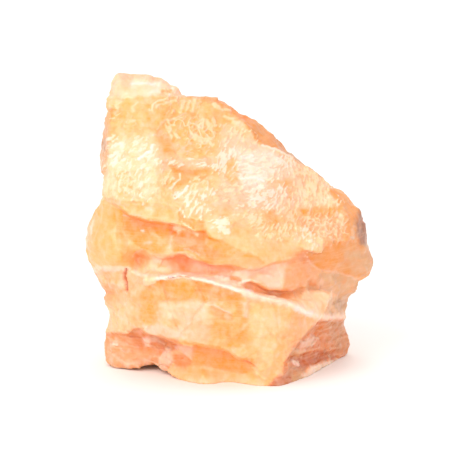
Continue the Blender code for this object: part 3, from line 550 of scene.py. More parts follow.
     (305, 370), (295, 374), (283, 378), (284, 362), (290, 352), (300, 339)), "rust", 0.85, 1.5, 0.0),
    # brick in the slot at the hollow's floor: painted shade
    ("right hollow's floor", ((288, 357), (300, 354), (325, 350), (338, 357), (316, 363), (304, 368),
     (294, 364)), "brick", 0.8, 3.0, -0.3),
    ("grey facet", ((300, 341), (310, 335), (318, 338), (313, 346), (300, 347)), "blush", 0.8, 2.0, 0.4),
    ("grey facet below", ((292, 348), (306, 349), (300, 357), (290, 355)), "tan", 0.7, 2.0, 0.2),
    # umber on the wall that turns back into the right hollow: partly painted shade
    ("shaded wall at the right", ((326, 320), (350, 319), (356, 350), (338, 352), (330, 336)), "umber", 0.5, 6.0, 0.0),
    ("foot's brown", ((282, 378), (290, 366), (306, 368), (304, 378), (288, 384)),
     "umber", 0.6, 3.0, 0.0),
    ("pale foot edge", ((302, 374), (316, 365), (330, 361), (346, 357), (340, 365), (322, 372),
     (306, 382)), "cream", 0.8, 2.5, 0.3),
    ("cream chip", ((291, 360), (300, 361), (300, 366), (294, 365)), "cream", 0.8, 1.0, 0.3),
    ("dark lump", ((268, 384), (280, 374), (292, 376), (290, 390), (272, 390)), "brick", 0.8, 2.0, 0.2),
    ("grey piece behind", ((94, 150), (98, 136), (104, 122), (111, 112), (112, 140), (109, 160),
     (106, 176), (96, 160)), "tan", 0.85, 1.2, 0.6),
    ("grey piece's brown", ((96, 138), (109, 140), (108, 150), (96, 152)), "umber", 0.8, 4.0, 0.0),
    ("tongue", ((286, 241), (298, 226), (306, 229), (312, 236), (325, 240), (320, 251), (300, 249),
     (289, 246)), "straw", 0.6, 2.5, 0.4),
)

# The same for lines, which have a width in pixels as well
lines = (
    ("streak in the cap", ((132, 83), (144, 83), (155, 84)), 3.0, "milk", 0.8, 3.0, 0.0),
    ("cream in the cap", ((148, 94), (158, 90), (160, 84)), 4.0, "cream", 0.7, 4.0, 0.1),
    ("fleck in the cap's end", ((163, 91), (170, 91)), 3.0, "amber", 0.7, 2.5, -0.1),
    ("comma", ((152, 111), (153, 105), (157, 101), (166, 99)), 2.4, "butter", 0.9, 1.5, 0.3),
    ("comma's start", ((149, 109), (150, 111)), 2.0, "butter", 0.7, 1.5, 0.2),
    ("comma's tail", ((156, 108), (160, 104), (167, 102), (175, 101)), 2.0, "butter", 0.7, 2.0, 0.2),
    ("loop a", ((113, 101), (120, 102), (118, 110), (116, 114)), 2.0, "butter", 0.5, 2.5, 0.1),
    ("loop b", ((138, 102), (134, 106), (133, 111)), 2.4, "butter", 0.6, 2.5, 0.1),
    ("stroke a", ((180, 112), (184, 103)), 3.0, "butter", 0.75, 2.0, 0.2),
    ("stroke b", ((187, 111), (189, 103)), 2.4, "butter", 0.75, 2.0, 0.2),
    ("stroke c", ((191, 112), (194, 102)), 2.4, "butter", 0.75, 2.0, 0.2),
    ("arc over the worms", ((157, 130), (160, 124), (165, 119), (174, 118), (186, 114)),
     2.0, "peach", 0.8, 2.0, 0.2),
    ("dab a", ((214, 105), (219, 108)), 4.0, "butter", 0.8, 2.0, 0.2),
    ("dab b", ((222, 110), (228, 110)), 2.6, "butter", 0.8, 1.5, 0.2),
    ("dab c", ((224, 117), (232, 119)), 3.0, "butter", 0.8, 2.0, 0.2),
    ("dab d", ((233, 122), (237, 126)), 2.6, "butter", 0.7, 2.0, 0.2),
    ("dab e", ((213, 118), (214, 125)), 3.0, "butter", 0.8, 1.5, 0.2),
    ("dab f", ((225, 125), (223, 132), (220, 134)), 2.2, "peach", 0.8, 1.5, 0.2),
    ("white stroke", ((139, 159), (146, 156), (151, 151), (153, 145)), 2.6, "milk", 0.9, 2.0, 0.3),
    ("pale stroke by the red", ((174, 183), (179, 179), (181, 173)), 1.8, "cream", 0.8, 1.5, 0.2),
    ("cream stroke a", ((174, 200), (179, 196), (184, 192), (187, 187)), 2.2, "milk", 0.9, 1.5, 0.3),
    ("cream stroke b", ((173, 196), (178, 193)), 2.0, "milk", 0.7, 1.5, 0.3),
    ("cream stroke c", ((170, 190), (174, 184)), 3.0, "cream", 0.7, 2.0, 0.2),
    ("white bar", ((242, 178), (256, 179), (264, 181)), 2.4, "milk", 0.8, 2.0, 0.1),
    ("white in the pale right", ((242, 157), (252, 156)), 3.0, "milk", 0.7, 2.5, 0.1),
    ("dots on the wall", ((146, 208), (152, 208)), 3.0, "blush", 0.6, 2.5, 0.1),
    ("edge of the smooth facet", ((262, 147), (275, 150), (292, 157)), 2.6, "cream", 0.9, 1.5, 0.2),
    ("rim", ((288, 153), (300, 162), (320, 175), (340, 190), (354, 204)), 2.6, "umber", 0.7, 2.5, 0.0),
    # cream on the bulb's left edge: painted light
    ("painted light on the bulb's edge", ((92, 234), (91, 226), (94, 219)), 1.8, "cream", 0.7, 1.5, 0.0),
    ("flake's pale edge", ((180, 219), (186, 226), (192, 230), (197, 235)), 2.0, "butter", 0.9, 1.2, 0.3),
    ("skin's lip", ((105, 199), (121, 206), (131, 214), (155, 221), (178, 224)),
     1.4, "peach", 0.7, 1.2, 0.1),
    ("lobe's right edge", ((170, 232), (172, 240), (169, 248)), 1.6, "peach", 0.7, 2.0, 0.1),
    # painted highlights on the glossy lobe
    ("painted highlight on the lobe", ((141, 231), (143, 231)), 2.0, "milk", 0.7, 1.5, 0.0),
    ("painted highlight below it", ((145, 242), (152, 242)), 2.0, "blush", 0.7, 2.0, 0.0),
    ("fleck at the lobe", ((125, 215), (129, 216)), 2.0, "blush", 0.7, 1.5, 0.1),
    ("crest", ((150, 255), (160, 254), (172, 253), (186, 253), (193, 256), (200, 261), (213, 265)),
     1.8, "peach", 0.8, 1.5, 0.1),
    ("line over the crest", ((184, 249), (192, 251), (198, 254)), 1.6, "blush", 0.7, 1.5, 0.1),
    ("edge of the hole", ((134, 256), (137, 252), (143, 250)), 1.6, "blush", 0.6, 1.5, 0.1),
    ("vein left", ((133, 272), (148, 277), (165, 278), (178, 276)), 4.6, "cream", 0.85, 2.5, 0.2),
    ("vein", ((160, 278), (184, 275), (200, 280), (220, 284), (240, 291), (252, 291)),
     3.2, "milk", 0.85, 4.0, 0.25),
    ("vein right", ((244, 293), (262, 297), (282, 301), (300, 308), (318, 317), (346, 317)),
     5.6, "cream", 0.75, 5.0, 0.2),
    ("vein's bright stretch", ((296, 309), (310, 314)), 4.5, "milk", 0.8, 4.0, 0.1),
    ("flake under the vein", ((146, 282), (154, 281)), 7.0, "butter", 0.9, 1.5, 0.35),
    ("speckle a", ((222, 276), (224, 278)), 2.0, "cream", 0.8, 1.2, 0.2),
    ("speckle b", ((227, 279), (229, 279)), 2.2, "milk", 0.8, 1.2, 0.2),
    ("speckle c", ((228, 274), (231, 273)), 2.0, "cream", 0.7, 1.2, 0.2),
    ("crack", ((127, 270), (124, 276), (126, 283), (126, 289)), 3.0, "brick", 0.9, 1.2, -0.9),
    ("fleck under the crack", ((125, 292), (127, 293)), 2.2, "blush", 0.8, 1.5, 0.1),
    ("small ledge", ((209, 304), (218, 306), (226, 311), (231, 313)), 1.6, "blush", 0.8, 1.5, 0.3),
    ("small ledge's upright", ((209, 296), (209, 303)), 1.6, "peach", 0.7, 2.0, 0.1),
    ("edge on the right face", ((306, 260), (320, 270), (340, 273), (357, 279)),
     1.6, "blush", 0.6, 2.0, 0.15),
    ("plate's right edge", ((331, 291), (330, 299), (326, 305)), 1.4, "cream", 0.6, 1.2, 0.1),
    ("fleck on the shoulder", ((351, 237), (353, 237)), 3.2, "ash", 0.9, 1.5, 0.2),
    ("fleck in the left hollow", ((114, 343), (117, 344)), 2.4, "cream", 0.9, 1.5, 0.3),
    ("streak low in the left hollow", ((128, 364), (138, 363)), 3.0, "blush", 0.6, 2.5, 0.2),
)

# Pale flakes left on the etched skin: outline, pigment, and how much of the ground they cover
flakes = (
    (((108, 140), (122, 136), (136, 137), (150, 133), (158, 143), (156, 165), (152, 180), (152, 198),
     (140, 202), (121, 200), (103, 196), (106, 172), (108, 155)), "cream", 0.45),
    (((108, 156), (120, 152), (136, 160), (134, 168), (118, 170), (114, 176), (106, 176)), "cream", 0.58),
    (((104, 176), (114, 178), (120, 188), (121, 200), (103, 197)), "butter", 0.85),
    (((116, 172), (136, 172), (137, 188), (130, 200), (120, 196)), "butter", 0.38),
    (((112, 101), (122, 101), (120, 118), (112, 118)), "butter", 0.3),
    (((120, 120), (134, 118), (150, 134), (124, 134)), "peach", 0.25),
    (((163, 86), (172, 88), (186, 98), (164, 98)), "cream", 0.55),
    (((168, 100), (206, 98), (200, 114), (168, 112)), "peach", 0.42),
    (((180, 119), (208, 120), (214, 146), (206, 158), (192, 146), (182, 136)), "peach", 0.4),
    (((164, 120), (178, 122), (178, 140), (166, 138)), "peach", 0.35),
    (((176, 140), (196, 140), (190, 157), (176, 155)), "peach", 0.4),
    (((157, 158), (216, 158), (217, 166), (190, 167), (158, 170)), "cream", 0.6),
    (((158, 170), (174, 172), (168, 186), (156, 198)), "butter", 0.5),
    (((214, 164), (226, 149), (233, 143), (235, 152), (229, 165), (222, 174), (215, 172)), "cream", 0.95),
    (((189, 186), (203, 176), (207, 176), (206, 184), (196, 193), (188, 192)), "butter", 0.95),
    (((166, 190), (180, 186), (200, 190), (214, 182), (216, 202), (208, 223), (196, 220), (188, 217),
     (180, 206), (166, 204)), "cream", 0.5),
    (((168, 198), (190, 198), (194, 216), (184, 216), (178, 206)), "cream", 0.7),
    (((216, 176), (230, 172), (240, 186), (236, 200), (216, 204)), "butter", 0.5),
    (((210, 221), (222, 215), (229, 216), (230, 224), (226, 229), (216, 227)), "cream", 0.95),
    (((230, 214), (246, 212), (250, 228), (234, 222)), "butter", 0.4),
    (((234, 150), (262, 152), (278, 157), (278, 178), (262, 188), (244, 188), (236, 170)), "cream", 0.6),
    (((240, 154), (257, 154), (257, 176), (242, 176)), "cream", 0.7),
    (((216, 128), (240, 124), (256, 140), (262, 150), (236, 150), (226, 142)), "butter", 0.45),
    (((262, 150), (290, 158), (300, 168), (290, 176), (276, 174), (266, 162)), "cream", 0.75),
    (((240, 188), (280, 184), (292, 200), (282, 212), (262, 208), (240, 214)), "cream", 0.78),
    (((244, 212), (262, 210), (268, 226), (262, 236), (246, 228)), "butter", 0.65),
    (((278, 200), (300, 198), (302, 216), (290, 230), (278, 228)), "butter", 0.6),
    (((298, 214), (344, 213), (350, 226), (348, 238), (330, 242), (310, 236), (302, 228)), "peach", 0.5),
    (((262, 226), (290, 226), (296, 240), (262, 241)), "butter", 0.6),
    (((290, 166), (304, 164), (322, 178), (336, 194), (338, 207), (302, 208), (292, 196)), "butter", 0.7),
    (((288, 240), (300, 227), (306, 230), (312, 237), (324, 241), (320, 250), (300, 247)), "cream", 0.55),
    (((326, 188), (338, 196), (340, 206), (328, 202)), "cream", 0.35),
)

# Where the acid left curled ridges like worm tracks, and how strongly
curlAreas = (
    (((164, 118), (178, 117), (208, 119), (216, 128), (216, 147), (200, 148), (190, 139), (178, 140),
     (166, 138)), 1.0),
    (((300, 216), (344, 214), (349, 236), (330, 241), (310, 234)), 0.75),
    (((116, 172), (136, 172), (138, 190), (120, 192)), 0.6),
    (((294, 188), (330, 190), (336, 206), (302, 207)), 0.5),
    (((288, 240), (300, 228), (312, 237), (322, 241), (318, 249)), 0.4),
)

# How the flakes run: place in the picture, and degrees anticlockwise from level
flakeRuns = (
    ((130, 120), 25), ((120, 150), 40), ((122, 185), 75), ((145, 155), 45), ((150, 190), 65),
    ((175, 108), 70), ((190, 130), 50), ((180, 190), 52), ((195, 162), 5), ((200, 200), 62),
    ((224, 158), 62), ((225, 215), 12), ((240, 135), 60), ((250, 165), 4), ((250, 200), 15),
    ((265, 222), 35), ((275, 236), 76), ((290, 215), 60), ((300, 180), 75), ((318, 195), 88),
    ((322, 226), 60), ((345, 215), 70),
)


def pixelDistance(places, corners, closed):
    # distance in pixels from each place to a line, or below 0 inside a closed outline
    corners = np.array(corners, float)
    ends = np.roll(corners, -1, axis=0) if closed else corners[1:]
    best = np.full(len(places), 1e9)
    within = np.zeros(len(places), bool)
    for (ax, ay), (bx, by) in zip(corners, ends):
        dx, dy = bx - ax, by - ay
        length = max(dx * dx + dy * dy, 1e-9)
        along = np.clip(((places[:, 0] - ax) * dx + (places[:, 1] - ay) * dy) / length, 0.0, 1.0)
        gap = np.hypot(places[:, 0] - ax - along * dx, places[:, 1] - ay - along * dy)
        best = np.minimum(best, gap)
        if closed and ay != by:
            crosses = (ay > places[:, 1]) != (by > places[:, 1])
            within ^= crosses & (places[:, 0] < ax + (places[:, 1] - ay) * dx / (by - ay))
    return np.where(within, -best, best)


def coverOf(places, corners, closed=True, width=0.0, edge=5.0):
    # how much a mark covers each place, 0 to 1
    spare = width / 2 + edge
    low, high = np.min(corners, axis=0) - spare, np.max(corners, axis=0) + spare
    near = np.nonzero(((places > low) & (places < high)).all(axis=1))[0]
    cover = np.zeros(len(places))
    distance = pixelDistance(places[near], corners, closed) - width / 2
    cover[near] = 1.0 - ramp(distance, -edge / 2, edge / 2)
    return cover


def breakCells(points, size, seed):
    # which small break face each point belongs to, and the middles of all of them
    rng = np.random.default_rng(seed)
    low, high = 1000.0 * np.array(cadBox)
    count = int(np.prod(high - low) / size ** 3)
    middles = rng.uniform(low, high, (count, 3))
    tree = KDTree(count)
    for index, middle in enumerate(middles):
        tree.insert(middle, index)
    tree.balance()
    wander = 0.12 * size * np.column_stack([roughNoise(points, size / 2, seed + i) for i in range(3)])
    return np.array([tree.find(p)[1] for p in points + wander]), middles


def withinAny(places, facing, outlines):
    # 1 inside any of the outlines on the front, 0 elsewhere
    return np.max([coverOf(places, corners) for corners in outlines], axis=0) * ramp(facing, *stone["shaped"])


def tornPlates(points, places, facing):
    # how strongly the plates show, and 0 to 1 from the foot of each to its edge
    torn = withinAny(places, facing, tornAreas) * ramp(roughNoise(points, 5.0, 332), -0.5, 0.1)
    height = bedHeight(points) + 1.2 * roughNoise(points, 3.0, 331)
    return torn, height / stone["plateThickness"] % 1.0


def sculptBreaks(mesh):
    points, facing = readPoints(mesh), turned(mesh)
    places = photoPlace(points)
    glassy = withinAny(places, facing, smoothAreas)
    skin = withinAny(places, facing, (areas[0][1],))
    faces = np.zeros(len(points))
    for number, (size, slope, step) in enumerate(stone["facets"]):
        seed = stone["seed"] + 10 * number
        nearest, middles = breakCells(points, size, seed)
        rng = np.random.default_rng(seed + 1)
        leans = rng.normal(size=middles.shape) * slope
        steps = rng.uniform(-step, step, len(middles))
        faces += ((points - middles[nearest]) * leans[nearest]).sum(axis=1) + steps[nearest]
    faces = np.clip(faces, -2 * stone["facetRise"], stone["facetRise"])
    faces *= 1.0 - (1.0 - stone["frontShare"]) * ramp(facing, -0.9, -0.3)
    faces *= 1.0 - skin
    bumps = sum(height * roughNoise(points, size, stone["seed"] + 40 + number)
                for number, (size, height) in enumerate(stone["breakNoise"]))
    torn, plateEdge = tornPlates(points, places, facing)
    reach = (faces + bumps) * (1.0 - (1.0 - stone["smoothShare"]) * glassy)
    reach += stone["plateStep"] * torn * (plateEdge - 0.5)
    pushOut(mesh, reach + stone["swell"] * (1.0 - ramp(np.abs(facing), 0.2, 0.5)))
    print("stage: break faces cut")


# Colours of the calcite, by the maker's own names for them; the deeper ones are also laid as painted shade,
# and milk and cream as painted highlights
pigments = {
    "milk": "#FEFAEF",
    "cream": "#FDF1DA",
    "butter": "#FDE4B8",
    "straw": "#FDD8A2",
    "honey": "#FDCB8C",
    "peach": "#FACDA6",
    "apricot": "#FCC08A",
    "gold": "#FEC172",
    "amber": "#FDAB52",
    "flame": "#F89A4C",
    "blush": "#F7D4B8",
    "salmon": "#F1AB72",
    "ochre": "#EC9E48",
    "rust": "#E4884A",
    "brick": "#CF6C36",
    "tan": "#E4B686",
    "umber": "#C8986E",
    "plum": "#AC765A",
    "ash": "#E2C6A6",
}


def coat(pigment):
    # The photograph is overexposed, so the paint is deeper than the pigment looks there, but has
    # its full red where the photograph's red is clipped
    red, green, blue = linear(pigments[pigment])[:3]
    over = studio["overexposed"]
    return red if red > studio["redClipped"] else red / over ** 0.5, green / over, blue / over


def lay(colour, pigment, cover):
    # one coat of a pigment over the colour so far
    colour += (np.array(coat(pigment)) - colour) * cover[:, None]


def bedHeight(points):
    # height above the pale vein's plane, which falls to the right and runs right through the stone
    toRight, toBack = stone["bedDip"]
    size, reach = stone["bedWander"]
    level = stone["veinHeight"] + toRight * points[:, 0] + toBack * points[:, 1]
    return points[:, 2] - level + reach * roughNoise(points, size, 301)


# Beds that show on the sides and back: height above the vein, thickness, pigment and how much it covers
beds = (
    (0.0, 1.4, "milk", 0.85),
    (-17.0, 2.2, "blush", 0.5),
    (22.0, 1.6, "butter", 0.6),
    (9.0, 3.0, "flame", 0.35),
    (-9.0, 3.5, "flame", 0.35),
    (36.0, 3.0, "cream", 0.4),
)


def flakeLevel(share):
    # level that the flakes' noise passes on about this share of the surface
    return 1.3 * (0.5 - share)


def paintBody(points, normals, flaky):
    # colour of the sides and back, from beds, breaks and skin like the front's, paler on faces that look up
    # and with painted shade on faces that look down
    colour = np.zeros_like(points)
    broad = roughNoise(points, 24.0, 311)
    middle = roughNoise(points, 9.0, 312)
    fine = roughNoise(points, 3.5, 313)
    lay(colour, "honey", np.ones(len(points)))
    for number, (size, _, _) in enumerate(stone["facets"][:2]):
        nearest, middles = breakCells(points, size, stone["seed"] + 10 * number)
        depth = np.random.default_rng(stone["seed"] + number).uniform(-1.0, 1.0, len(middles))[nearest]
        for pigment, side in (("flame", 1.0), ("straw", -1.0)):
            lay(colour, pigment, 0.5 * ramp(side * depth + 0.15 * fine, 0.1, 0.9))
    lay(colour, "amber", 0.75 * ramp(broad + 0.4 * middle, 0.0, 0.45))
    lay(colour, "gold", 0.7 * ramp(-broad + 0.3 * middle, 0.1, 0.5))
    # paler where faces look up: partly the pale etched skin, partly painted light from above
    lay(colour, "butter", 0.8 * ramp(normals[:, 2] + 0.6 * middle + 0.3 * fine, 0.35, 0.75))
    lay(colour, "blush", 0.35 * ramp(roughNoise(points, 13.0, 314) + 0.3 * fine, 0.2, 0.5))
    # deeper orange where faces look down: painted shade
    lay(colour, "flame", 0.6 * ramp(-normals[:, 2] + 0.5 * middle, 0.35, 0.9))
    skin = ramp(normals[:, 2] + 0.8 * broad + 0.4 * middle, -0.1, 0.6)
    for pigment, share in (("butter", 0.75), ("cream", 0.45)):
        limit = flakeLevel(share * skin)
        lay(colour, pigment, 0.8 * skin * ramp(flaky, limit, limit + 0.3))
    height = bedHeight(points)
    for level, thickness, pigment, cover in beds:
        off = np.abs(height - level) + 0.5 * fine
        lay(colour, pigment, cover * (1.0 - ramp(off, thickness / 2, thickness / 2 + 0.8)))
    return colour


def flakeNoise(points, places):
    # long flakes that turn with flakeRuns: noise stretched several ways, blended by the way they run
    anchors = np.array([place for place, _ in flakeRuns], float)
    angles = np.radians([2.0 * angle for _, angle in flakeRuns])   # doubled: a flake has no head or tail
    pull = (((places[:, None, :] - anchors) ** 2).sum(axis=2) + stone["flakeTurn"]) ** -2
    heading = np.column_stack([pull @ np.cos(angles), pull @ np.sin(angles)])
    heading /= np.linalg.norm(heading, axis=1)[:, None]
    width, length = stone["flakeSize"]
    total, power = np.zeros(len(points)), np.zeros(len(points))
    ways = 6
    for number in range(ways):
        angle = math.radians(180.0 * number / ways)
        share = np.clip(heading @ (math.cos(2 * angle), math.sin(2 * angle)), 0.0, 1.0) ** 3
        along = points[:, 0] * math.cos(angle) + points[:, 2] * math.sin(angle)
        across = points[:, 2] * math.cos(angle) - points[:, 0] * math.sin(angle)
        stretched = np.column_stack([along / length, across / width, points[:, 1] / length])
        coarse, fine = roughNoise(stretched, 1.0, 401 + number), roughNoise(stretched, 0.5, 421 + number)
        total += share * (coarse + 0.5 * fine)
        power += share ** 2
    return total / np.sqrt(power)


def paintStone(mesh):
    points, normals, facing = readPoints(mesh), readPoints(mesh, "normal"), turned(mesh)
    front = ramp(facing, *stone["marked"])
    places = photoPlace(points)
    flaky = flakeNoise(points, places)
    for number, (size, reach) in enumerate(stone["fray"]):
        places += reach * np.column_stack([roughNoise(points, size, 201 + 2 * number + i) for i in range(2)])
    colour = paintBody(points, normals, flaky)
    lay(colour, "honey", 0.7 * front)
    height = np.zeros(len(points))
    for _, corners, pigment, strength, edge, proud in areas:
        cover = coverOf(places, corners, edge=edge ** stone["blend"]) * front
        lay(colour, pigment, strength * cover)
        height += proud * cover
    torn, plateEdge = tornPlates(points, places, facing)
    lay(colour, "blush", 0.35 * torn * ramp(plateEdge, 0.6, 0.95))
    # deeper rust at the foot of each plate, under the next one's edge: painted shade
    lay(colour, "rust", 0.3 * torn * ramp(-plateEdge, -0.3, 0.0))
    glassy = withinAny(places, facing, smoothAreas)
    clouds = roughNoise(points, 5.0, 321) + 0.7 * roughNoise(points, 1.8, 322)
    cloudy = stone["cloudCover"] * (1.0 - 0.6 * glassy) * front
    for pigment, side in (("cream", 1.0), ("flame", -1.0)):
        lay(colour, pigment, cloudy * ramp(side * clouds, 0.1, 0.8))
    flaked = np.zeros(len(points))
    size, reach = stone["drift"]
    drifted = places + reach * np.column_stack([roughNoise(points, size, 231 + i) for i in range(2)])
    for corners, pigment, share in flakes:
        near = coverOf(drifted, corners, edge=stone["flakeFade"]) * front
        within = ramp(near, 0.0, 0.3)
        limit = flakeLevel(share * near)
        # a flake's sides keep the colour of the ground
        lay(colour, pigment, stone["flakeCover"] * ramp(flaky, limit - 0.02, limit + 0.3) * within)
        flaked = np.maximum(flaked, ramp(flaky, limit - 0.25, limit + 0.1) * within)
    height += stone["flakeHeight"] * flaked
    for _, corners, width, pigment, strength, edge, proud in lines:
        cover = coverOf(places, corners, False, width, edge) * front
        lay(colour, pigment, strength * cover)
        height += proud * cover
    curled = 0.7 * (1.0 - front) * ramp(normals[:, 2] + 0.7 * roughNoise(points, 12.0, 315), 0.2, 0.7)
    for corners, strength in curlAreas:
        curled = np.maximum(curled, strength * coverOf(places, corners) * front)
    pushOut(mesh, height)
    # the stone's own colours together with the painted shade and painted highlights laid on it
    paint = mesh.color_attributes.new("stoneColourAndShade", "FLOAT_COLOR", "POINT")
    opaque = np.column_stack([colour, np.ones(len(points))])
    paint.data.foreach_set("color", opaque.astype(np.float32).ravel())
    for name, values in (("curled", curled), ("flaked", flaked), ("glassy", glassy)):
        mesh.attributes.new(name, "FLOAT", "POINT").data.foreach_set("value", values.astype(np.float32))
    print("stage: marks laid,", len(areas) + len(flakes) + len(lines))


etching = {
    # lengths in millimetres
    "Curl Spacing": 3.1,
    "Curl Width": 0.12,       # share of the noise's range that makes a ridge
    "Curl Height": 0.26,
    "Grain Size": 0.9,
    "Grain Height": 0.12,
    "Seed": 3.0,
}


def etchedSkinTree(material):
    # curled ridges left standing where acid water ate the skin, and the grain of the break
    tree = bpy.data.node_groups.new("etchedSkin", "GeometryNodeTree")
    face = tree.interface
    face.new_socket("Geometry", in_out="INPUT", socket_type="NodeSocketGeometry")
    for name in etching:
        face.new_socket(name, in_out="INPUT", socket_type="NodeSocketFloat")
    face.new_socket("Geometry", in_out="OUTPUT", socket_type="NodeSocketGeometry")
    given = tree.nodes.new("NodeGroupInput").outputs
    place = addNode(tree, "GeometryNodeInputPosition")
    normal = addNode(tree, "GeometryNodeInputNormal")
    curled = addNode(tree, "GeometryNodeInputNamedAttribute", {"Name": "curled"}, data_type="FLOAT")
    # a curl runs where a wandering noise passes its middle value
    curlScale = addNode(tree, "ShaderNodeMath", {0: 1.0, 1: given["Curl Spacing"]}, operation="DIVIDE")
    field = addNode(tree, "ShaderNodeTexNoise", {
        "Vector": place, "W": given["Seed"], "Scale": curlScale, "Detail": 0.5, "Distortion": 0.8,
    }, noise_dimensions="4D")
    off = addNode(tree, "ShaderNodeMath", {0: field, 1: 0.5}, operation="SUBTRACT")
    gap = addNode(tree, "ShaderNodeMath", {0: off}, operation="ABSOLUTE")
    ridge = addNode(tree, "ShaderNodeMapRange", {
        "Value": gap, "From Min": 0.0, "From Max": given["Curl Width"], "To Min": 1.0, "To Max": 0.0,
    }, interpolation_type="SMOOTHSTEP")
    curl = addNode(tree, "ShaderNodeMath", {0: ridge, 1: curled}, operation="MULTIPLY")
    grainScale = addNode(tree, "ShaderNodeMath", {0: 1.0, 1: given["Grain Size"]}, operation="DIVIDE")
    grit = addNode(tree, "ShaderNodeTexNoise", {
        "Vector": place, "W": given["Seed"], "Scale": grainScale, "Detail": 2.0,
    }, noise_dimensions="4D")
    glassy = addNode(tree, "GeometryNodeInputNamedAttribute", {"Name": "glassy"}, data_type="FLOAT")
    granular = addNode(tree, "ShaderNodeMapRange", {"Value": glassy, "To Min": 1.0, "To Max": 0.1})
    middle = addNode(tree, "ShaderNodeMath", {0: grit, 1: 0.5}, operation="SUBTRACT")
    grain = addNode(tree, "ShaderNodeMath", {0: middle, 1: granular}, operation="MULTIPLY")
    curlUp = addNode(tree, "ShaderNodeMath", {0: curl, 1: given["Curl Height"]}, operation="MULTIPLY")
    height = addNode(tree, "ShaderNodeMath", {0: grain, 1: given["Grain Height"], 2: curlUp},
                     operation="MULTIPLY_ADD")
    up = addNode(tree, "ShaderNodeSeparateXYZ", {0: place}, out=2)
    lifted = addNode(tree, "ShaderNodeMapRange", {
        "Value": up, "From Min": 0.0, "From Max": stone["groundClear"] / 1000,
        "To Min": 0.0, "To Max": height,
    })
    offset = addNode(tree, "ShaderNodeVectorMath", {0: normal, "Scale": lifted}, operation="SCALE")
    moved = addNode(tree, "GeometryNodeSetPosition", {"Geometry": given["Geometry"], "Offset": offset})
    marked = addNode(tree, "GeometryNodeStoreNamedAttribute", {
        "Geometry": moved, "Name": "crest", "Value": curl}, data_type="FLOAT", domain="POINT")
    whole = addNode(tree, "GeometryNodeRealizeInstances", {"Geometry": marked})
    done = addNode(tree, "GeometryNodeSetMaterial", {"Geometry": whole, "Material": material})
    addNode(tree, "NodeGroupOutput", {"Geometry": done})
    return tree


def etchSkin(piece, material):
    tree = etchedSkinTree(material)
    modifier = piece.modifiers.new("etched skin", "NODES")
    modifier.node_group = tree
    plain = ("Curl Width", "Seed")
    for item in tree.interface.items_tree:
        if item.name in etching:
            modifier[item.identifier] = etching[item.name] * (1.0 if item.name in plain else 0.001)
    applyModifiers(piece)
    print("stage: skin etched")


calcite = {
    "roughBreak": 0.38,       # waxy to glassy on a fresh break
    "roughGlassy": 0.28,      # the smoothest breaks
    "roughSkin": 0.6,         # dull where etched
    "ior": 1.6,               # mean of calcite's two, 1.49 and 1.66
    "glow": 0.5,              # share of light that goes into the stone and comes out again
    "glowDepth": 0.0025,      # metres that red light travels inside
    "glowColours": (1.0, 0.5, 0.25),
    "crest": "butter",        # pigments of the curled ridges and of the beds' streaks
    "streak": "straw",
    "cloudSize": 2.4,         # millimetres, the mottling inside the stone
    "bedStreak": (9.0, 0.7),  # millimetres, length and thickness of the pale streaks along the beds
    "gritSize": 1.1,          # millimetres
}


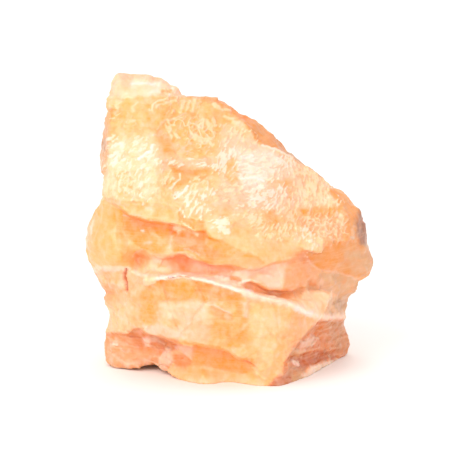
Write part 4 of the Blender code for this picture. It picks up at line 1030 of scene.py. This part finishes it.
def calciteMaterial():
    # massive orange calcite, broken by hand and in part etched: milky pale bands in a translucent
    # orange body, waxy on the breaks, dull and pale on the etched ridges
    material = bpy.data.materials.new("orangeCalciteBroken")
    material.use_nodes = True
    tree = material.node_tree
    shader = tree.nodes["Principled BSDF"]
    place = addNode(tree, "ShaderNodeTexCoord", out="Object")
    paint = addNode(tree, "ShaderNodeAttribute", out="Color", attribute_name="stoneColourAndShade")
    crest = addNode(tree, "ShaderNodeAttribute", out="Fac", attribute_name="crest")
    flaked = addNode(tree, "ShaderNodeAttribute", out="Fac", attribute_name="flaked")
    cloud = addNode(tree, "ShaderNodeTexNoise", {
        "Vector": place, "Scale": 1000 / calcite["cloudSize"], "Detail": 4.0, "Roughness": 0.6})
    depth = addNode(tree, "ShaderNodeMapRange", {
        "Value": cloud, "From Min": 0.3, "From Max": 0.7, "To Min": 0.91, "To Max": 1.09})
    mottled = addNode(tree, "ShaderNodeHueSaturation", {"Saturation": depth, "Color": paint})
    length, thickness = calcite["bedStreak"]
    along = addNode(tree, "ShaderNodeMapping", {
        "Vector": place, "Rotation": (0.0, -math.atan(stone["bedDip"][0]), 0.0),
        "Scale": (1000 / length, 1000 / length, 1000 / thickness)})
    streak = addNode(tree, "ShaderNodeTexNoise", {"Vector": along, "Scale": 1.0, "Detail": 2.0})
    streaked = addNode(tree, "ShaderNodeMapRange", {
        "Value": streak, "From Min": 0.5, "From Max": 0.7, "To Min": 0.0, "To Max": 0.2})
    veined = addNode(tree, "ShaderNodeMix", {0: streaked, 6: mottled, 7: coat(calcite["streak"]) + (1.0,)},
                     out=2, data_type="RGBA")
    crested = addNode(tree, "ShaderNodeMapRange", {
        "Value": crest, "From Min": 0.15, "From Max": 0.7, "To Min": 0.0, "To Max": 0.75})
    pale = addNode(tree, "ShaderNodeMix", {0: crested, 6: veined, 7: coat(calcite["crest"]) + (1.0,)},
                   out=2, data_type="RGBA")
    tree.links.new(pale, shader.inputs["Base Color"])
    dull = addNode(tree, "ShaderNodeMath", {0: crest, 1: flaked}, operation="MAXIMUM")
    rough = addNode(tree, "ShaderNodeMapRange", {
        "Value": dull, "To Min": calcite["roughBreak"], "To Max": calcite["roughSkin"]})
    glassy = addNode(tree, "ShaderNodeAttribute", out="Fac", attribute_name="glassy")
    smoother = addNode(tree, "ShaderNodeMapRange", {
        "Value": glassy, "To Min": rough, "To Max": calcite["roughGlassy"]})
    tree.links.new(smoother, shader.inputs["Roughness"])
    grit = addNode(tree, "ShaderNodeTexNoise", {
        "Vector": place, "Scale": 1000 / calcite["gritSize"], "Detail": 3.0})
    bump = addNode(tree, "ShaderNodeBump", {"Height": grit, "Strength": 0.3, "Distance": 0.0003})
    tree.links.new(bump, shader.inputs["Normal"])
    shader.inputs["IOR"].default_value = calcite["ior"]
    shader.inputs["Subsurface Weight"].default_value = calcite["glow"]
    shader.inputs["Subsurface Scale"].default_value = calcite["glowDepth"]
    shader.inputs["Subsurface Radius"].default_value = calcite["glowColours"]
    return material


piece = makeFineMesh()
sculptBreaks(piece.data)
thinMesh(piece)
paintStone(piece.data)
etchSkin(piece, calciteMaterial())
piece.data.shade_smooth()

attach(piece, "root")
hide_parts("calcite")
print("stage: finished,", len(piece.data.polygons), "triangles")
